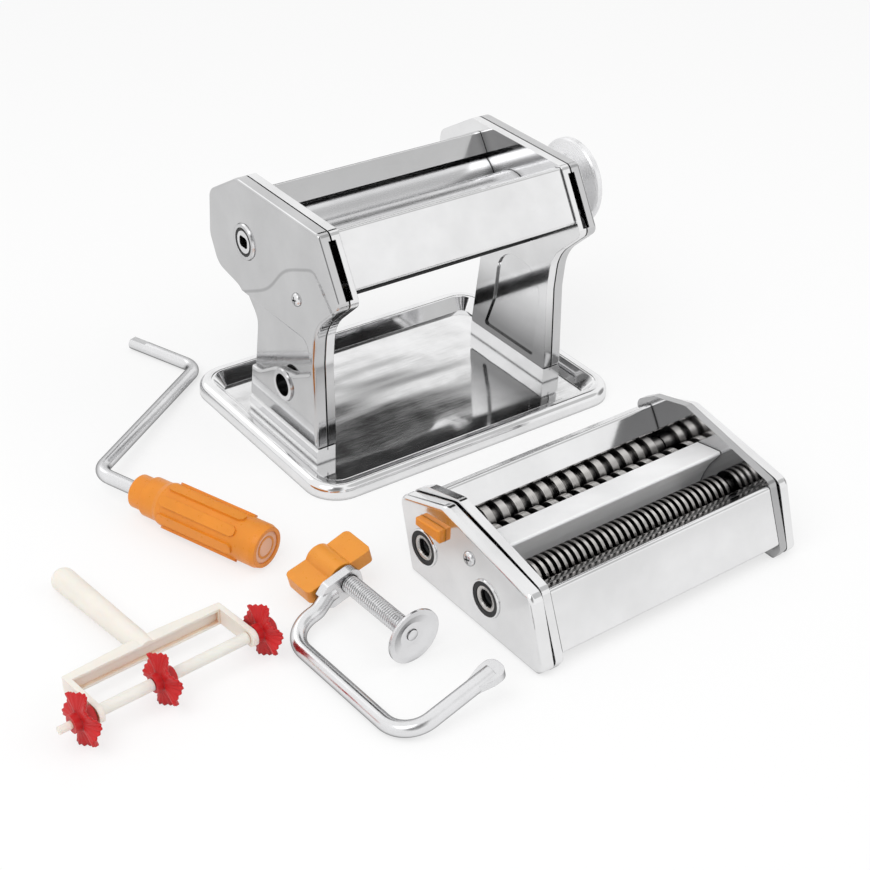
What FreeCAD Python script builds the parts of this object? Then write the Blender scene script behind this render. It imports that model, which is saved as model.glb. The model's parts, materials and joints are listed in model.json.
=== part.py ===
import FreeCAD, Part
import math
import os
import re
import Sketcher

# Hand cranked pasta machine with its crank, table clamp, cutter head and wheel cutter.
# Frame: origin at the centre of the base plate's underside, +X along the rollers towards
# the dial, +Y to the rear, +Z up. Each loose item has a local frame of its own.

document = FreeCAD.newDocument("PastaMachine")
sheet = document.addObject("Spreadsheet::Sheet", "Sizes")

# Driving dimensions in millimetres; names that end in _turn are degrees, _count are counts.
SIZES = {
    # Base plate: a pressed tray with a rolled rim.
    "base_overhang": 31, "base_width": 155, "base_corner": 20, "rim_height": 8.7,
    "rim_flat": 8, "rim_round": 5, "tray_inset": 15, "tray_gauge": 1.2,
    # Side assemblies: inner plate, seam, outer cover, foot shoe.
    "inner_width": 152, "sheet_gauge": 1, "plate_depth": 5.2, "seam_gap": 1,
    "cover_depth": 7, "cover_round": 2, "waist_depth": 3.5, "arch_depth": 1.4,
    "leg_bottom": 11.5, "shoe_gap": 0.4, "shoe_front": 40.5, "shoe_rear": 33.5,
    # Side profile: distances from the centre plane, and drops below the top edge.
    "top_height": 147, "top_front": 42.5, "top_rear": 42, "shoulder_reach": 73.5,
    "shoulder_drop": 19, "hip_reach": 75, "hip_drop": 52, "waist_reach": 41,
    "waist_drop": 68, "calf_reach": 28, "calf_drop": 83, "heel_reach": 33,
    "toe_reach": 41, "throat_reach": 40, "throat_drop": 72, "throat_round": 28, "nose_reach": 64,
    "nose_drop": 35, "arch_front": 31, "arch_rear": 20, "arch_drop": 71,
    "hook_slot_width": 2, "hook_drop": 4, "hook_slot_rise": 28,
    # Sheeting rollers and their gears.
    "carrier_reach": 13, "carrier_rise": 12, "carrier_gauge": 1.8, "yoke_gauge": 4.4,
    "yoke_play": 0.35, "cam_gauge": 3.4, "blade_gauge": 1.6, "blade_play": 0.6,
    "front_blade_drop": 1.5, "rear_blade_drop": 8,
    "roller_radius": 17, "roller_drop": 35.6, "drive_reach": 33.2, "nip_gap": 0.4,
    "end_gap": 0.4, "shaft_radius": 6.7, "idler_shaft_radius": 5, "shaft_clearance": 0.08,
    "gear_tooth_count": 20, "gear_width": 6,
    "key_width": 8.4, "key_height": 6.6, "key_round": 2.2, "key_depth": 16,
    # Thickness setting: dial, spindle, eccentric and index holes.
    "spindle_radius": 4, "eccentric_throw": 1.25, "eccentric_radius": 7.5,
    "dial_gap": 0.5, "dial_length": 34, "dial_skirt_radius": 20, "dial_rim_radius": 27,
    "dial_rim_width": 5, "dial_bore_radius": 9, "dial_pull": 4.5, "index_radius": 16,
    "index_pin_radius": 1.3, "index_hole_count": 7, "index_step_turn": 30,
    # Clamp socket, screws, tie rods.
    "socket_reach": 6.2, "socket_height": 37.7, "socket_bore_radius": 6.8,
    "socket_wall": 1.3, "socket_flange_radius": 10, "flange_gauge": 1.2,
    "drive_ring_radius": 11, "drive_bush_radius": 8.5, "screw_reach": 21.5,
    "screw_drop": 47.6, "screw_radius": 2, "screw_head_radius": 4, "screw_head_height": 1.8,
    "tie_rod_radius": 3, "hopper_rod_radius": 2.5,
    # Crank.
    "rod_radius": 4, "crank_tip_length": 52, "crank_throw": 129.6, "crank_rise": 39.6,
    "crank_lead": 29.6, "crank_bend": 12, "flat_length": 12, "flat_height": 6.4,
    "grip_length": 88, "grip_clearance": 0.15, "grip_neck_radius": 9.5,
    "grip_collar_radius": 11.2, "grip_radius": 12.2, "grip_rib_radius": 13.3,
    "grip_rib_count": 8, "grip_cap_radius": 9, "crank_beside": 6.9, "crank_behind": 9.66,
    "crank_heading_turn": -69.3,
    # Table clamp.
    "clamp_rod_radius": 4.15, "clamp_back": 94, "clamp_reach": 59, "clamp_bend": 16,
    "clamp_axis": 42.5, "clamp_jog": 4.5, "eye_width": 15, "eye_thickness": 5,
    "clamp_thread_radius": 5, "clamp_pad_radius": 15, "clamp_pad_gauge": 1.4,
    "pad_station": 46, "paddle_width": 13, "paddle_length": 17, "wing_span": 41,
    "wing_depth": 22, "wing_thickness": 8, "wing_hub_radius": 8, "wing_gap": 1.5,
    "clamp_beside": 11.9, "clamp_before": 52.4, "clamp_heading_turn": 3.5,
    # Cutter head, in its own frame: origin under the middle of its floor.
    "cutter_plate_depth": 4.9, "cutter_seam": 1, "cutter_cover_depth": 7,
    "cutter_round": 2.7, "cutter_height": 54.5, "cutter_rear": 59.5, "cutter_front": 60,
    "cutter_axis_height": 21, "wide_axis": 36, "narrow_axis": 14.8, "cutter_spacing": 18,
    "ring_radius": 9.6, "core_radius": 6.4, "wide_pitch": 9.65, "narrow_pitch": 4.26,
    "ring_margin": 1, "ring_play": 0.25,
    "cutter_shaft_radius": 4, "cutter_gear_count": 12, "cutter_gear_width": 4,
    "cutter_ring_radius": 10, "cutter_face_radius": 7,
    "cutter_screw_height": 36.5, "latch_length": 20, "latch_height": 7.5, "latch_reach": 4,
    "latch_station": 19.5, "latch_sill": 35, "latch_slope": 3, "latch_round": 1,
    "latch_gap": 0.2, "cutter_x": -9.2, "cutter_before": 55.5,
    "cutter_turn": 1.26,
    # Three-wheel cutter.
    "axle_radius": 2, "axle_length": 119, "fork_half_width": 42.5, "fork_plate": 3,
    "fork_depth": 26, "fork_height": 9, "crossbar_depth": 6,
    "crossbar_recess": 2, "handle_length": 82, "handle_radius": 6.5, "spacer_radius": 3,
    "wheel_radius": 14, "wheel_hub_radius": 4.6, "wheel_hub_length": 11,
    "wheel_station": 50, "middle_station": 7, "wheel_wave": 4, "wheel_wave_count": 3,
    "wheel_gauge": 2.6, "wheel_tooth": 0.9, "wheel_tooth_count": 36, "wheel_play": 0.15,
    "tool_beside": 13.6, "tool_before": 88.5, "tool_turn": 5,
}

# Dimensions that follow from the driving ones, as formulas in the same sheet.
DERIVED = {
    "base_length": "inner_width+2*base_overhang",
    "shoulder_height": "top_height-shoulder_drop",
    "hip_height": "top_height-hip_drop",
    "waist_height": "top_height-waist_drop",
    "calf_height": "top_height-calf_drop",
    "throat_height": "top_height-throat_drop",
    "nose_height": "top_height-nose_drop",
    "arch_height": "top_height-arch_drop",
    "hook_slot_high": "top_height-hook_drop",
    "hook_slot_low": "hook_slot_high-hook_slot_rise",
    "roller_height": "top_height-roller_drop",
    "screw_height": "top_height-screw_drop",
    "cutter_inner": "inner_width",
    "wide_ring_count": "floor((cutter_inner-2*ring_margin)/wide_pitch)",
    "narrow_ring_count": "floor((cutter_inner-2*ring_margin)/narrow_pitch)",
    "cutter_ridge": "(wide_axis-cutter_spacing-narrow_axis)/2",
    "crossbar_length": "2*fork_half_width+fork_plate",
    "crank_x": "-base_length/2-crank_beside",
    "crank_y": "base_width/2+crank_behind-crank_tip_length*sin(crank_heading_turn)",
    "clamp_depth": "clamp_back+clamp_jog+eye_thickness/2+wing_gap+wing_depth",
    "clamp_x": "-base_length/2-clamp_beside-clamp_reach",
    "clamp_y": "-base_width/2-clamp_before-clamp_depth",
    "cutter_y": "-base_width/2-cutter_before-cutter_rear",
    "tool_x": "clamp_x-tool_beside-wheel_station-wheel_hub_length/2",
    "tool_y": "-base_width/2-tool_before",
}


def fill_sheet():
    """Write the driving dimensions as numbers and the derived ones as formulas."""
    formulas = {name: "=" + text for name, text in DERIVED.items()}
    for row, (name, value) in enumerate({**SIZES, **formulas}.items(), start=1):
        sheet.set(f"A{row}", name)
        sheet.set(f"B{row}", str(value))
        sheet.setAlias(f"B{row}", name)
    document.recompute()


fill_sheet()

# Positions that several sub-parts share, as expressions of the driving dimensions.
INNER = "inner_width/2"
SEAM_IN = "(inner_width/2+plate_depth)"
SEAM_OUT = "(inner_width/2+plate_depth+seam_gap)"
OUTER = "(inner_width/2+plate_depth+seam_gap+cover_depth)"
FRONT_AXIS = "(drive_reach-2*roller_radius-nip_gap)"
DIAL_START = "(inner_width/2+plate_depth+seam_gap+cover_depth+dial_gap)"
GEAR_START = "(inner_width/2+sheet_gauge+2.6)"
PITCH_RADIUS = "(roller_radius+nip_gap/2)"
EDGE_SLOPE = "(nose_reach-top_front)/(top_height-nose_height)"
CUT_INNER = "cutter_inner/2"
CUT_SEAM = "(cutter_inner/2+cutter_plate_depth+cutter_seam)"
CUT_OUTER = "(cutter_inner/2+cutter_plate_depth+cutter_seam+cutter_cover_depth)"
CUT_GEAR = "(cutter_inner/2+cutter_plate_depth+0.8)"

# Signs of a rectangle's four corners, in order round it.
RECTANGLE = (("+", "-"), ("+", "+"), ("-", "+"), ("-", "-"))


def bound(text):
    """An expression with each dimension's name pointing at its sheet cell."""
    def cell(match):
        name = match.group(0)
        return f"Sizes.{name}" if name in SIZES or name in DERIVED else name
    return re.sub(r"[a-z][a-z_0-9]*", cell, str(text))


def number(text):
    """The present value of an expression."""
    value = sheet.evalExpression(bound(text))
    return float(getattr(value, "Value", value))


def place(piece, x="0", y="0", z="0", yaw="0", pitch="0", roll="0"):
    """Bind a sub-part's Placement to expressions; angles in degrees."""
    piece.setExpression("Placement", bound(
        f"placement(vector({x}; {y}; {z}); rotation({yaw}; {pitch}; {roll}))"))


def new_body(label, frame=None):
    """A PartDesign body whose Label is its node's name."""
    body = document.addObject("PartDesign::Body", label)
    body.Label = label
    if frame:
        place(body, **frame)
    return body


def sketch_on(body, role, offset="0"):
    """A sketch on one of the body's origin planes, moved along the plane's normal."""
    plane = [item for item in body.Origin.OriginFeatures if item.Role == role][0]
    sketch = body.newObject("Sketcher::SketchObject", body.Name + "_sketch")
    sketch.AttachmentSupport = (plane, "")
    sketch.MapMode = "FlatFace"
    sketch.setExpression("AttachmentOffset.Base.z", bound(offset))
    return sketch


def tie(sketch, kind, element, point, value, text):
    """Dimension a point from the sketch's origin and bind the dimension."""
    index = sketch.addConstraint(Sketcher.Constraint(kind, -1, 1, element, point, value))
    sketch.setExpression(f"Constraints[{index}]", bound(text))


def tie_radius(sketch, element, text):
    """Bind the radius of a circle or an arc."""
    index = sketch.addConstraint(Sketcher.Constraint("Radius", element, number(text)))
    sketch.setExpression(f"Constraints[{index}]", bound(text))


def corner_arc(before, here, after, radius):
    """Tangent points, centre and side (+1 left turn) of the arc that rounds a corner."""
    inward = (here - before).normalize()
    outward = (after - here).normalize()
    cross = inward.x * outward.y - inward.y * outward.x
    turn = math.atan2(cross, inward.x * outward.x + inward.y * outward.y)
    trim = radius * math.tan(abs(turn) / 2)
    start = here - inward * trim
    side = 1 if cross > 0 else -1
    centre = start + FreeCAD.Vector(-inward.y, inward.x, 0) * (radius * side)
    return start, here + outward * trim, centre, side


def outline(sketch, corners, closed=True):
    """Draw a chain of lines through (x, y, radius) corners, rounded where a radius is given."""
    points = [FreeCAD.Vector(number(c[0]), number(c[1]), 0) for c in corners]
    count = len(points)
    arcs = []
    for index, corner in enumerate(corners):
        rounded = len(corner) > 2 and (closed or 0 < index < count - 1)
        here = points[index]
        arcs.append(corner_arc(points[index - 1], here, points[(index + 1) % count],
                               number(corner[2])) if rounded else (here, here, None, 0))
    sides = count if closed else count - 1
    lines = [sketch.addGeometry(Part.LineSegment(arcs[i][1], arcs[(i + 1) % count][0]), False)
             for i in range(sides)]
    for index, corner in enumerate(corners):
        before = lines[index - 1] if closed or index > 0 else None
        after = lines[index] if index < sides else None
        if arcs[index][2] is None:
            tie_sharp_corner(sketch, corner, points[index], before, after)
        else:
            tie_round_corner(sketch, corner, points[index], arcs[index], before, after)


def tie_sharp_corner(sketch, corner, point, before, after):
    """Join two lines at a sharp corner, or end a chain there, and dimension the point."""
    if before is not None and after is not None:
        sketch.addConstraint(Sketcher.Constraint("Coincident", before, 2, after, 1))
    element, end = (after, 1) if after is not None else (before, 2)
    tie(sketch, "DistanceX", element, end, point.x, corner[0])
    tie(sketch, "DistanceY", element, end, point.y, corner[1])


def tie_round_corner(sketch, corner, point, arc, before, after):
    """Round a corner with a tangent arc; the sharp corner stays as the dimensioned point."""
    start, end, centre, side = arc
    first, last = (start, end) if side > 0 else (end, start)
    angle_first = math.atan2(first.y - centre.y, first.x - centre.x)
    angle_last = math.atan2(last.y - centre.y, last.x - centre.x)
    if angle_last < angle_first:
        angle_last += 2 * math.pi
    circle = Part.Circle(centre, FreeCAD.Vector(0, 0, 1), number(corner[2]))
    curve = sketch.addGeometry(Part.ArcOfCircle(circle, angle_first, angle_last), False)
    apex = sketch.addGeometry(Part.Point(point), True)
    enter, leave = (1, 2) if side > 0 else (2, 1)
    sketch.addConstraint(Sketcher.Constraint("Tangent", before, 2, curve, enter))
    sketch.addConstraint(Sketcher.Constraint("Tangent", after, 1, curve, leave))
    tie_radius(sketch, curve, corner[2])
    tie(sketch, "DistanceX", apex, 1, point.x, corner[0])
    tie(sketch, "DistanceY", apex, 1, point.y, corner[1])
    sketch.addConstraint(Sketcher.Constraint("PointOnObject", apex, 1, before))
    sketch.addConstraint(Sketcher.Constraint("PointOnObject", apex, 1, after))


def circle(sketch, x, y, radius):
    """A circle with its centre and radius bound."""
    centre = FreeCAD.Vector(number(x), number(y), 0)
    curve = sketch.addGeometry(
        Part.Circle(centre, FreeCAD.Vector(0, 0, 1), number(radius)), False)
    tie(sketch, "DistanceX", curve, 3, centre.x, x)
    tie(sketch, "DistanceY", curve, 3, centre.y, y)
    tie_radius(sketch, curve, radius)


def polygon(sketch, sides, radius, x="0", y="0"):
    """A regular polygon about a centre."""
    step = 360 / sides
    outline(sketch, [(f"{x}+{radius}*cos({step * (k + 0.5)})",
                      f"{y}+{radius}*sin({step * (k + 0.5)})") for k in range(sides)])


def prism(body, kind, sketch, length, backwards=False, both=False):
    """A Pad or a Pocket of the sketch."""
    feature = body.newObject(f"PartDesign::{kind}", kind)
    feature.Profile = sketch
    feature.setExpression("Length", bound(length))
    feature.Reversed = backwards
    if both:
        feature.SideType = "Symmetric"
    return feature


def pad(body, sketch, length, backwards=False, both=False):
    """Add material from the sketch along its normal."""
    return prism(body, "Pad", sketch, length, backwards, both)


def cut(body, sketch, length, along_normal=False, both=False):
    """Remove material from the sketch, against its normal unless told otherwise."""
    document.recompute()
    before = body.Shape.Volume
    feature = prism(body, "Pocket", sketch, length, along_normal, both)
    document.recompute()
    if body.Shape.Volume > before - 1e-3:
        raise ValueError(f"{body.Label}: a cut removes nothing")
    return feature


def spin(body, sketch, axis="H_Axis"):
    """Add material by turning the sketch about one of its axes."""
    feature = body.newObject("PartDesign::Revolution", "Revolution")
    feature.Profile = sketch
    feature.ReferenceAxis = (sketch, [axis])
    feature.Angle = 360
    return feature


def ring_of(body, feature, role, count):
    """Repeat a feature round an origin axis."""
    axis = [item for item in body.Origin.OriginFeatures if item.Role == role][0]
    pattern = body.newObject("PartDesign::PolarPattern", "PolarPattern")
    pattern.Originals = [feature]
    pattern.Axis = (axis, [""])
    pattern.Angle = 360
    pattern.setExpression("Occurrences", bound(count))
    body.Tip = pattern
    return pattern


def row_of(body, feature, role, count, pitch):
    """Repeat a feature along an origin axis."""
    axis = [item for item in body.Origin.OriginFeatures if item.Role == role][0]
    pattern = body.newObject("PartDesign::LinearPattern", "LinearPattern")
    pattern.Originals = [feature]
    pattern.Direction = (axis, [""])
    pattern.setExpression("Length", bound(f"({count}-1)*{pitch}"))
    pattern.setExpression("Occurrences", bound(count))
    body.Tip = pattern
    return pattern


def hollow(body, base, wall, is_open):
    """Leave a wall of even thickness inside a block, open at the faces that is_open picks."""
    document.recompute()
    faces = [f"Face{i + 1}" for i, face in enumerate(base.Shape.Faces) if is_open(face)]
    shell = body.newObject("PartDesign::Thickness", "Thickness")
    shell.Base = (base, faces)
    shell.setExpression("Value", bound(wall))
    shell.Reversed = True
    return shell


def round_edges(body, base, radius, is_edge):
    """Round the edges that is_edge picks."""
    document.recompute()
    edges = [f"Edge{i + 1}" for i, edge in enumerate(base.Shape.Edges) if is_edge(edge)]
    fillet = body.newObject("PartDesign::Fillet", "Fillet")
    fillet.Base = (base, edges)
    fillet.setExpression("Radius", bound(radius))
    return fillet


def lies_at(item, axis, value):
    """Whether a face or an edge lies wholly in the plane axis = value."""
    box = item.BoundBox
    low, high = {"x": (box.XMin, box.XMax), "y": (box.YMin, box.YMax),
                 "z": (box.ZMin, box.ZMax)}[axis]
    return abs(low - value) < 1e-4 and abs(high - value) < 1e-4


def turned(label, corners, axis="X", frame=None):
    """A sub-part turned about X, Y or Z from (station, radius) corners."""
    body = new_body(label, frame)
    if axis == "X":
        sketch = sketch_on(body, "XY_Plane")
        outline(sketch, corners)
        spin(body, sketch, "H_Axis")
    else:
        sketch = sketch_on(body, "XY_Plane" if axis == "Y" else "XZ_Plane")
        outline(sketch, [(c[1], c[0]) + tuple(c[2:]) for c in corners])
        spin(body, sketch, "V_Axis")
    return body


def tube_corners(start, end, bore, radius):
    """Corners of a plain sleeve for turned()."""
    return [(start, bore), (end, bore), (end, radius), (start, radius)]


def rod(label, radius, length, frame):
    """A plain cylinder along the local Z axis."""
    piece = document.addObject("Part::Cylinder", label)
    piece.Label = label
    piece.setExpression("Radius", bound(radius))
    piece.setExpression("Height", bound(length))
    place(piece, **frame)
    return piece


def gather(label, pieces):
    """One node of separate like pieces."""
    group = document.addObject("Part::Compound", label)
    group.Label = label
    group.Links = pieces
    return group


def bent_sheet(label, corners, half_length, gauge, frame=None):
    """Folded sheet along X: a shell round a section whose last side is left open."""
    body = new_body(label, frame)
    sketch = sketch_on(body, "YZ_Plane")
    outline(sketch, corners)
    block = pad(body, sketch, f"2*({half_length})", both=True)
    reach = number(half_length)
    first, last = corners[0], corners[-1]
    gap_y = (number(first[0]) + number(last[0])) / 2
    gap_z = (number(first[1]) + number(last[1])) / 2

    def is_open(face):
        if lies_at(face, "x", reach) or lies_at(face, "x", -reach):
            return True
        middle = face.CenterOfMass
        return math.hypot(middle.y - gap_y, middle.z - gap_z) < 0.01
    hollow(body, block, gauge, is_open)
    return body


# ---------------------------------------------------------------- machine housing

SIDE_PROFILE = [
    ("-top_front", "top_height", "4"), ("-nose_reach", "nose_height", "5"),
    ("-throat_reach", "throat_height+14", "throat_round"), ("-throat_reach+2", "throat_height-10", "20"),
    ("-toe_reach", "leg_bottom", "1.5"), ("heel_reach", "leg_bottom", "1.5"),
    ("calf_reach-1.5", "calf_height", "12"), ("waist_reach", "waist_height", "12"),
    ("hip_reach-9", "hip_height-12", "12"), ("hip_reach", "hip_height+5", "12"),
    ("shoulder_reach", "shoulder_height", "8"), ("top_rear", "top_height", "8"),
]


def base_plate():
    """Pressed tray: a hollow rim swept round the edge of a flat floor."""
    tray = new_body("base_plate")
    edge = "base_width/2"
    spine = sketch_on(tray, "XY_Plane")
    outline(spine, [("0", f"-{edge}")] + [
        (f"{sx}base_length/2", f"{sy}{edge}", "base_corner") for sx, sy in RECTANGLE])
    skew = "0.43*tray_gauge"
    section = sketch_on(tray, "YZ_Plane")
    outline(section, [
        (f"-{edge}", "0"), (f"-{edge}+tray_gauge", "0"),
        (f"-{edge}+tray_gauge", "rim_height-tray_gauge", "rim_round-tray_gauge"),
        (f"-{edge}+rim_flat-{skew}", "rim_height-tray_gauge"),
        (f"-{edge}+tray_inset-{skew}", "0"), (f"-{edge}+tray_inset+2", "0"),
        (f"-{edge}+tray_inset+2", "tray_gauge"), (f"-{edge}+tray_inset", "tray_gauge"),
        (f"-{edge}+rim_flat", "rim_height", "2"), (f"-{edge}", "rim_height", "rim_round")])
    rim = tray.newObject("PartDesign::AdditivePipe", "Rim")
    rim.Profile = section
    rim.Spine = (spine, [])
    floor = sketch_on(tray, "XY_Plane")
    inset = "tray_inset+1"
    outline(floor, [(f"{sx}(base_length/2-{inset})", f"{sy}(base_width/2-{inset})",
                     "base_corner-tray_inset-1") for sx, sy in RECTANGLE])
    pad(tray, floor, "tray_gauge")
    return tray


def slot_corners(grow_low, grow_high):
    """A band across the slanted front edge between the hook slot's two heights."""
    def at(height, shift):
        return (f"-top_front-(top_height-{height})*{EDGE_SLOPE}{shift}", height)
    return [at("hook_slot_high", grow_low), at("hook_slot_high", grow_high),
            at("hook_slot_low", grow_high), at("hook_slot_low", grow_low)]


def arch(front="0", rear="0", inset="0"):
    """Section of the drawn arch with its front edge, rear edge and ends moved."""
    low, high = f"leg_bottom+3+{inset}", f"arch_height-{inset}"
    return [(f"-arch_front+1+{front}", low, "2"), (f"arch_rear+{rear}", low, "2"),
            (f"arch_rear-8+{rear}", "socket_height", "30"),
            (f"arch_rear-11+{rear}", high, "18"), (f"-arch_front-3+{front}", high, "20")]


def side_plate(label, side):
    """Inner plate: a pan pressed outward from its web, with an arch drawn below."""
    right = side == "1"
    plate = new_body(label)
    profile = sketch_on(plate, "YZ_Plane", f"{side}*{INNER}")
    outline(profile, SIDE_PROFILE)
    block = pad(plate, profile, "plate_depth", backwards=not right)
    lip = number(f"{side}*{SEAM_IN}")
    hollow(plate, block, "sheet_gauge", lambda face: lies_at(face, "x", lip))
    drawn = sketch_on(plate, "YZ_Plane", f"{side}*({INNER}+sheet_gauge/2)")
    outline(drawn, arch(rear="sheet_gauge"))
    pad(plate, drawn, "arch_depth+sheet_gauge/2", backwards=not right)
    hollowed = sketch_on(plate, "YZ_Plane", f"{side}*{INNER}")
    outline(hollowed, arch(front="sheet_gauge", inset="sheet_gauge"))
    cut(plate, hollowed, "arch_depth", along_normal=right)
    holes = sketch_on(plate, "YZ_Plane", f"{side}*{INNER}")
    circle(holes, "drive_reach", "roller_height", "shaft_radius+1.8")
    circle(holes, "-screw_reach", "screw_height", "screw_radius+0.2")
    reach = "(idler_shaft_radius+0.5)"
    middle = f"({FRONT_AXIS}-eccentric_throw)"
    outline(holes, [(f"{middle}{sy}({reach}+eccentric_throw)", f"roller_height{sz}{reach}",
                     f"{reach}-0.1") for sy, sz in RECTANGLE])
    if not right:
        circle(holes, "-socket_reach", "socket_height", "socket_bore_radius+socket_wall+0.02")
    cut(plate, holes, "plate_depth", along_normal=right)
    hook = sketch_on(plate, "YZ_Plane", f"{side}*{SEAM_IN}")
    outline(hook, slot_corners("+3", "-3"))
    cut(plate, hook, "hook_slot_width", along_normal=not right)
    return plate


def side_cover(label, side):
    """Outer cover: a deep pan with a rounded outer edge and a waist drawn inward."""
    right = side == "1"
    cover = new_body(label)
    profile = sketch_on(cover, "YZ_Plane", f"{side}*{SEAM_OUT}")
    outline(profile, SIDE_PROFILE)
    pad(cover, profile, "cover_depth", backwards=not right)
    waist = sketch_on(cover, "YZ_Plane", f"{side}*{OUTER}")
    outline(waist, [
        ("hip_reach", "waist_height-2"), ("-throat_reach+10", "waist_height-2", "6"),
        ("-throat_reach+5", "calf_height-5", "5"), ("-throat_reach+24", "socket_height+11", "9"),
        ("socket_reach-1", "socket_height+6", "16"), ("calf_reach-6", "socket_height-5", "14"),
        ("hip_reach", "socket_height-8")])
    recess = cut(cover, waist, "waist_depth", along_normal=not right)
    seam = number(f"{side}*{SEAM_OUT}")
    pan = hollow(cover, recess, "sheet_gauge", lambda face: lies_at(face, "x", seam))
    outer = number(f"{side}*{OUTER}")
    round_edges(cover, pan, "cover_round", lambda edge: lies_at(edge, "x", outer))
    holes = sketch_on(cover, "YZ_Plane", f"{side}*{SEAM_OUT}")
    circle(holes, "-screw_reach", "screw_height", "screw_radius+0.2")
    if right:
        circle(holes, FRONT_AXIS, "roller_height", "spindle_radius+shaft_clearance")
        for step in range(int(number("index_hole_count"))):
            angle = f"({step}*index_step_turn)"
            circle(holes, f"{FRONT_AXIS}+index_radius*cos({angle})",
                   f"roller_height+index_radius*sin({angle})", "index_pin_radius+0.2")
    else:
        circle(holes, "drive_reach", "roller_height", "drive_bush_radius+0.02")
        circle(holes, "-socket_reach", "socket_height", "socket_bore_radius+socket_wall+0.02")
    cut(cover, holes, "cover_depth", along_normal=right)
    hook = sketch_on(cover, "YZ_Plane", f"{side}*{SEAM_OUT}")
    outline(hook, slot_corners("+3", "-3"))
    cut(cover, hook, "hook_slot_width-0.5", along_normal=right)
    return cover


def leg_shoe(label, side):
    """Foot shoe between the tray floor and the leg, with a groove along its length."""
    shoe = new_body(label)
    section = sketch_on(shoe, "XZ_Plane")
    inner = f"{side}*({INNER}+0.3)"
    outer = f"{side}*({OUTER}-0.3)"
    groove = f"{side}*{SEAM_IN}"
    top = "leg_bottom-shoe_gap"
    outline(section, [
        (inner, "tray_gauge"), (outer, "tray_gauge"), (outer, f"{top}-1.5"),
        (f"{outer}-{side}*1.5", top), (f"{groove}+{side}*0.5", top),
        (f"{groove}+{side}*0.5", f"{top}-2"), (groove, f"{top}-2"), (groove, top),
        (inner, top)])
    pad(shoe, section, "shoe_rear+shoe_front", backwards=True)
    place(shoe, y="-shoe_front")
    return shoe


def front_guard():
    """Folded sheet that closes the slanted front between the side plates."""
    return bent_sheet("front_guard", [
        ("-top_front+10", "top_height-9"), ("-top_front+6", "top_height-2.5", "2"),
        ("-top_front+1", "top_height-1", "1.5"), ("-nose_reach+5", "nose_height+5.5", "2"),
        ("-nose_reach+14", "nose_height+1")],
        f"{INNER}-end_gap+0.1", "sheet_gauge")


def rear_guard():
    """Folded sheet over the rear roller that leads the dough into the nip."""
    return bent_sheet("rear_guard", [
        ("hip_reach-11", "hip_height-3"), ("hip_reach-3", "hip_height+2", "3"),
        ("shoulder_reach-3.5", "shoulder_height-6", "5"),
        ("top_rear-8", "top_height-5.5", "1.5"), ("drive_reach-7", "roller_height+19")],
        f"{INNER}-end_gap+0.1", "sheet_gauge")


def scraper(label, lip_y, heel_y, drop):
    """Flat blade that keeps dough off the underside of a roller."""
    blade = new_body(label)
    section = sketch_on(blade, "YZ_Plane")
    lip = "roller_height-roller_radius-blade_play"
    outline(section, [(lip_y, lip), (heel_y, f"{lip}-{drop}"),
                      (heel_y, f"{lip}-{drop}-blade_gauge"), (lip_y, f"{lip}-blade_gauge")])
    pad(blade, section, f"2*({INNER}-end_gap)", both=True)
    return blade


def tie_rods():
    """Three rods that hold the side plates at their distance."""
    stations = [("-screw_reach", "screw_height", "tie_rod_radius"),
                ("(hip_reach+shoulder_reach)/2-12.2", "hip_height+9", "tie_rod_radius"),
                ("-top_front+4.5", "top_height-9", "hopper_rod_radius")]
    return gather("tie_rods", [
        rod(f"tie_rod_{i}", radius, "inner_width",
            {"x": f"-{INNER}", "y": y, "z": z, "pitch": "90"})
        for i, (y, z, radius) in enumerate(stations, start=1)])


def cover_screw(label, side, outer, start, frame):
    """Pan head screw through a cover and its plate into the tie rod's end."""
    return turned(label, [
        (f"{side}*{start}", "0"), (f"{side}*{start}", "screw_radius"),
        (f"{side}*{outer}", "screw_radius"), (f"{side}*{outer}", "screw_head_radius"),
        (f"{side}*({outer}+screw_head_height*0.4)", "screw_head_radius"),
        (f"{side}*({outer}+screw_head_height)", "screw_head_radius*0.6"),
        (f"{side}*({outer}+screw_head_height)", "0")], frame=frame)


# ---------------------------------------------------------------- sheeting rollers

REAR_AXLE = {"y": "drive_reach", "z": "roller_height"}
FRONT_AXLE = {"y": FRONT_AXIS, "z": "roller_height"}


def keyed_hole(body, start, depth):
    """Blind hole with two flats for the crank's end, in a shaft that points to -X."""
    key = sketch_on(body, "YZ_Plane", start)
    outline(key, [(f"{sy}key_width/2", f"{sz}key_height/2", "key_round")
                  for sy, sz in RECTANGLE])
    cut(body, key, depth, along_normal=True)


def drive_roller():
    """Rear roller: turned barrel with a keyed socket in its left journal."""
    end = f"({INNER}-end_gap)"
    tip = f"-({OUTER}+1)"
    roller = turned("drive_roller", [
        (tip, "0"), (tip, "shaft_radius"), (f"-{end}", "shaft_radius"),
        (f"-{end}", "roller_radius"), (end, "roller_radius"), (end, "shaft_radius"),
        (f"{SEAM_IN}", "shaft_radius"), (f"{SEAM_IN}", "0")], frame=REAR_AXLE)
    keyed_hole(roller, tip, "key_depth")
    return roller


def front_roller():
    """Front roller: plain barrel on two thin journals."""
    end = f"({INNER}-end_gap)"
    left = f"-({GEAR_START}+gear_width+0.4)"
    right = f"({INNER}+sheet_gauge+2.4)"
    return turned("front_roller", [
        (left, "0"), (left, "idler_shaft_radius"), (f"-{end}", "idler_shaft_radius"),
        (f"-{end}", "roller_radius"), (end, "roller_radius"), (end, "idler_shaft_radius"),
        (right, "idler_shaft_radius"), (right, "0")], frame=FRONT_AXLE)


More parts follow.
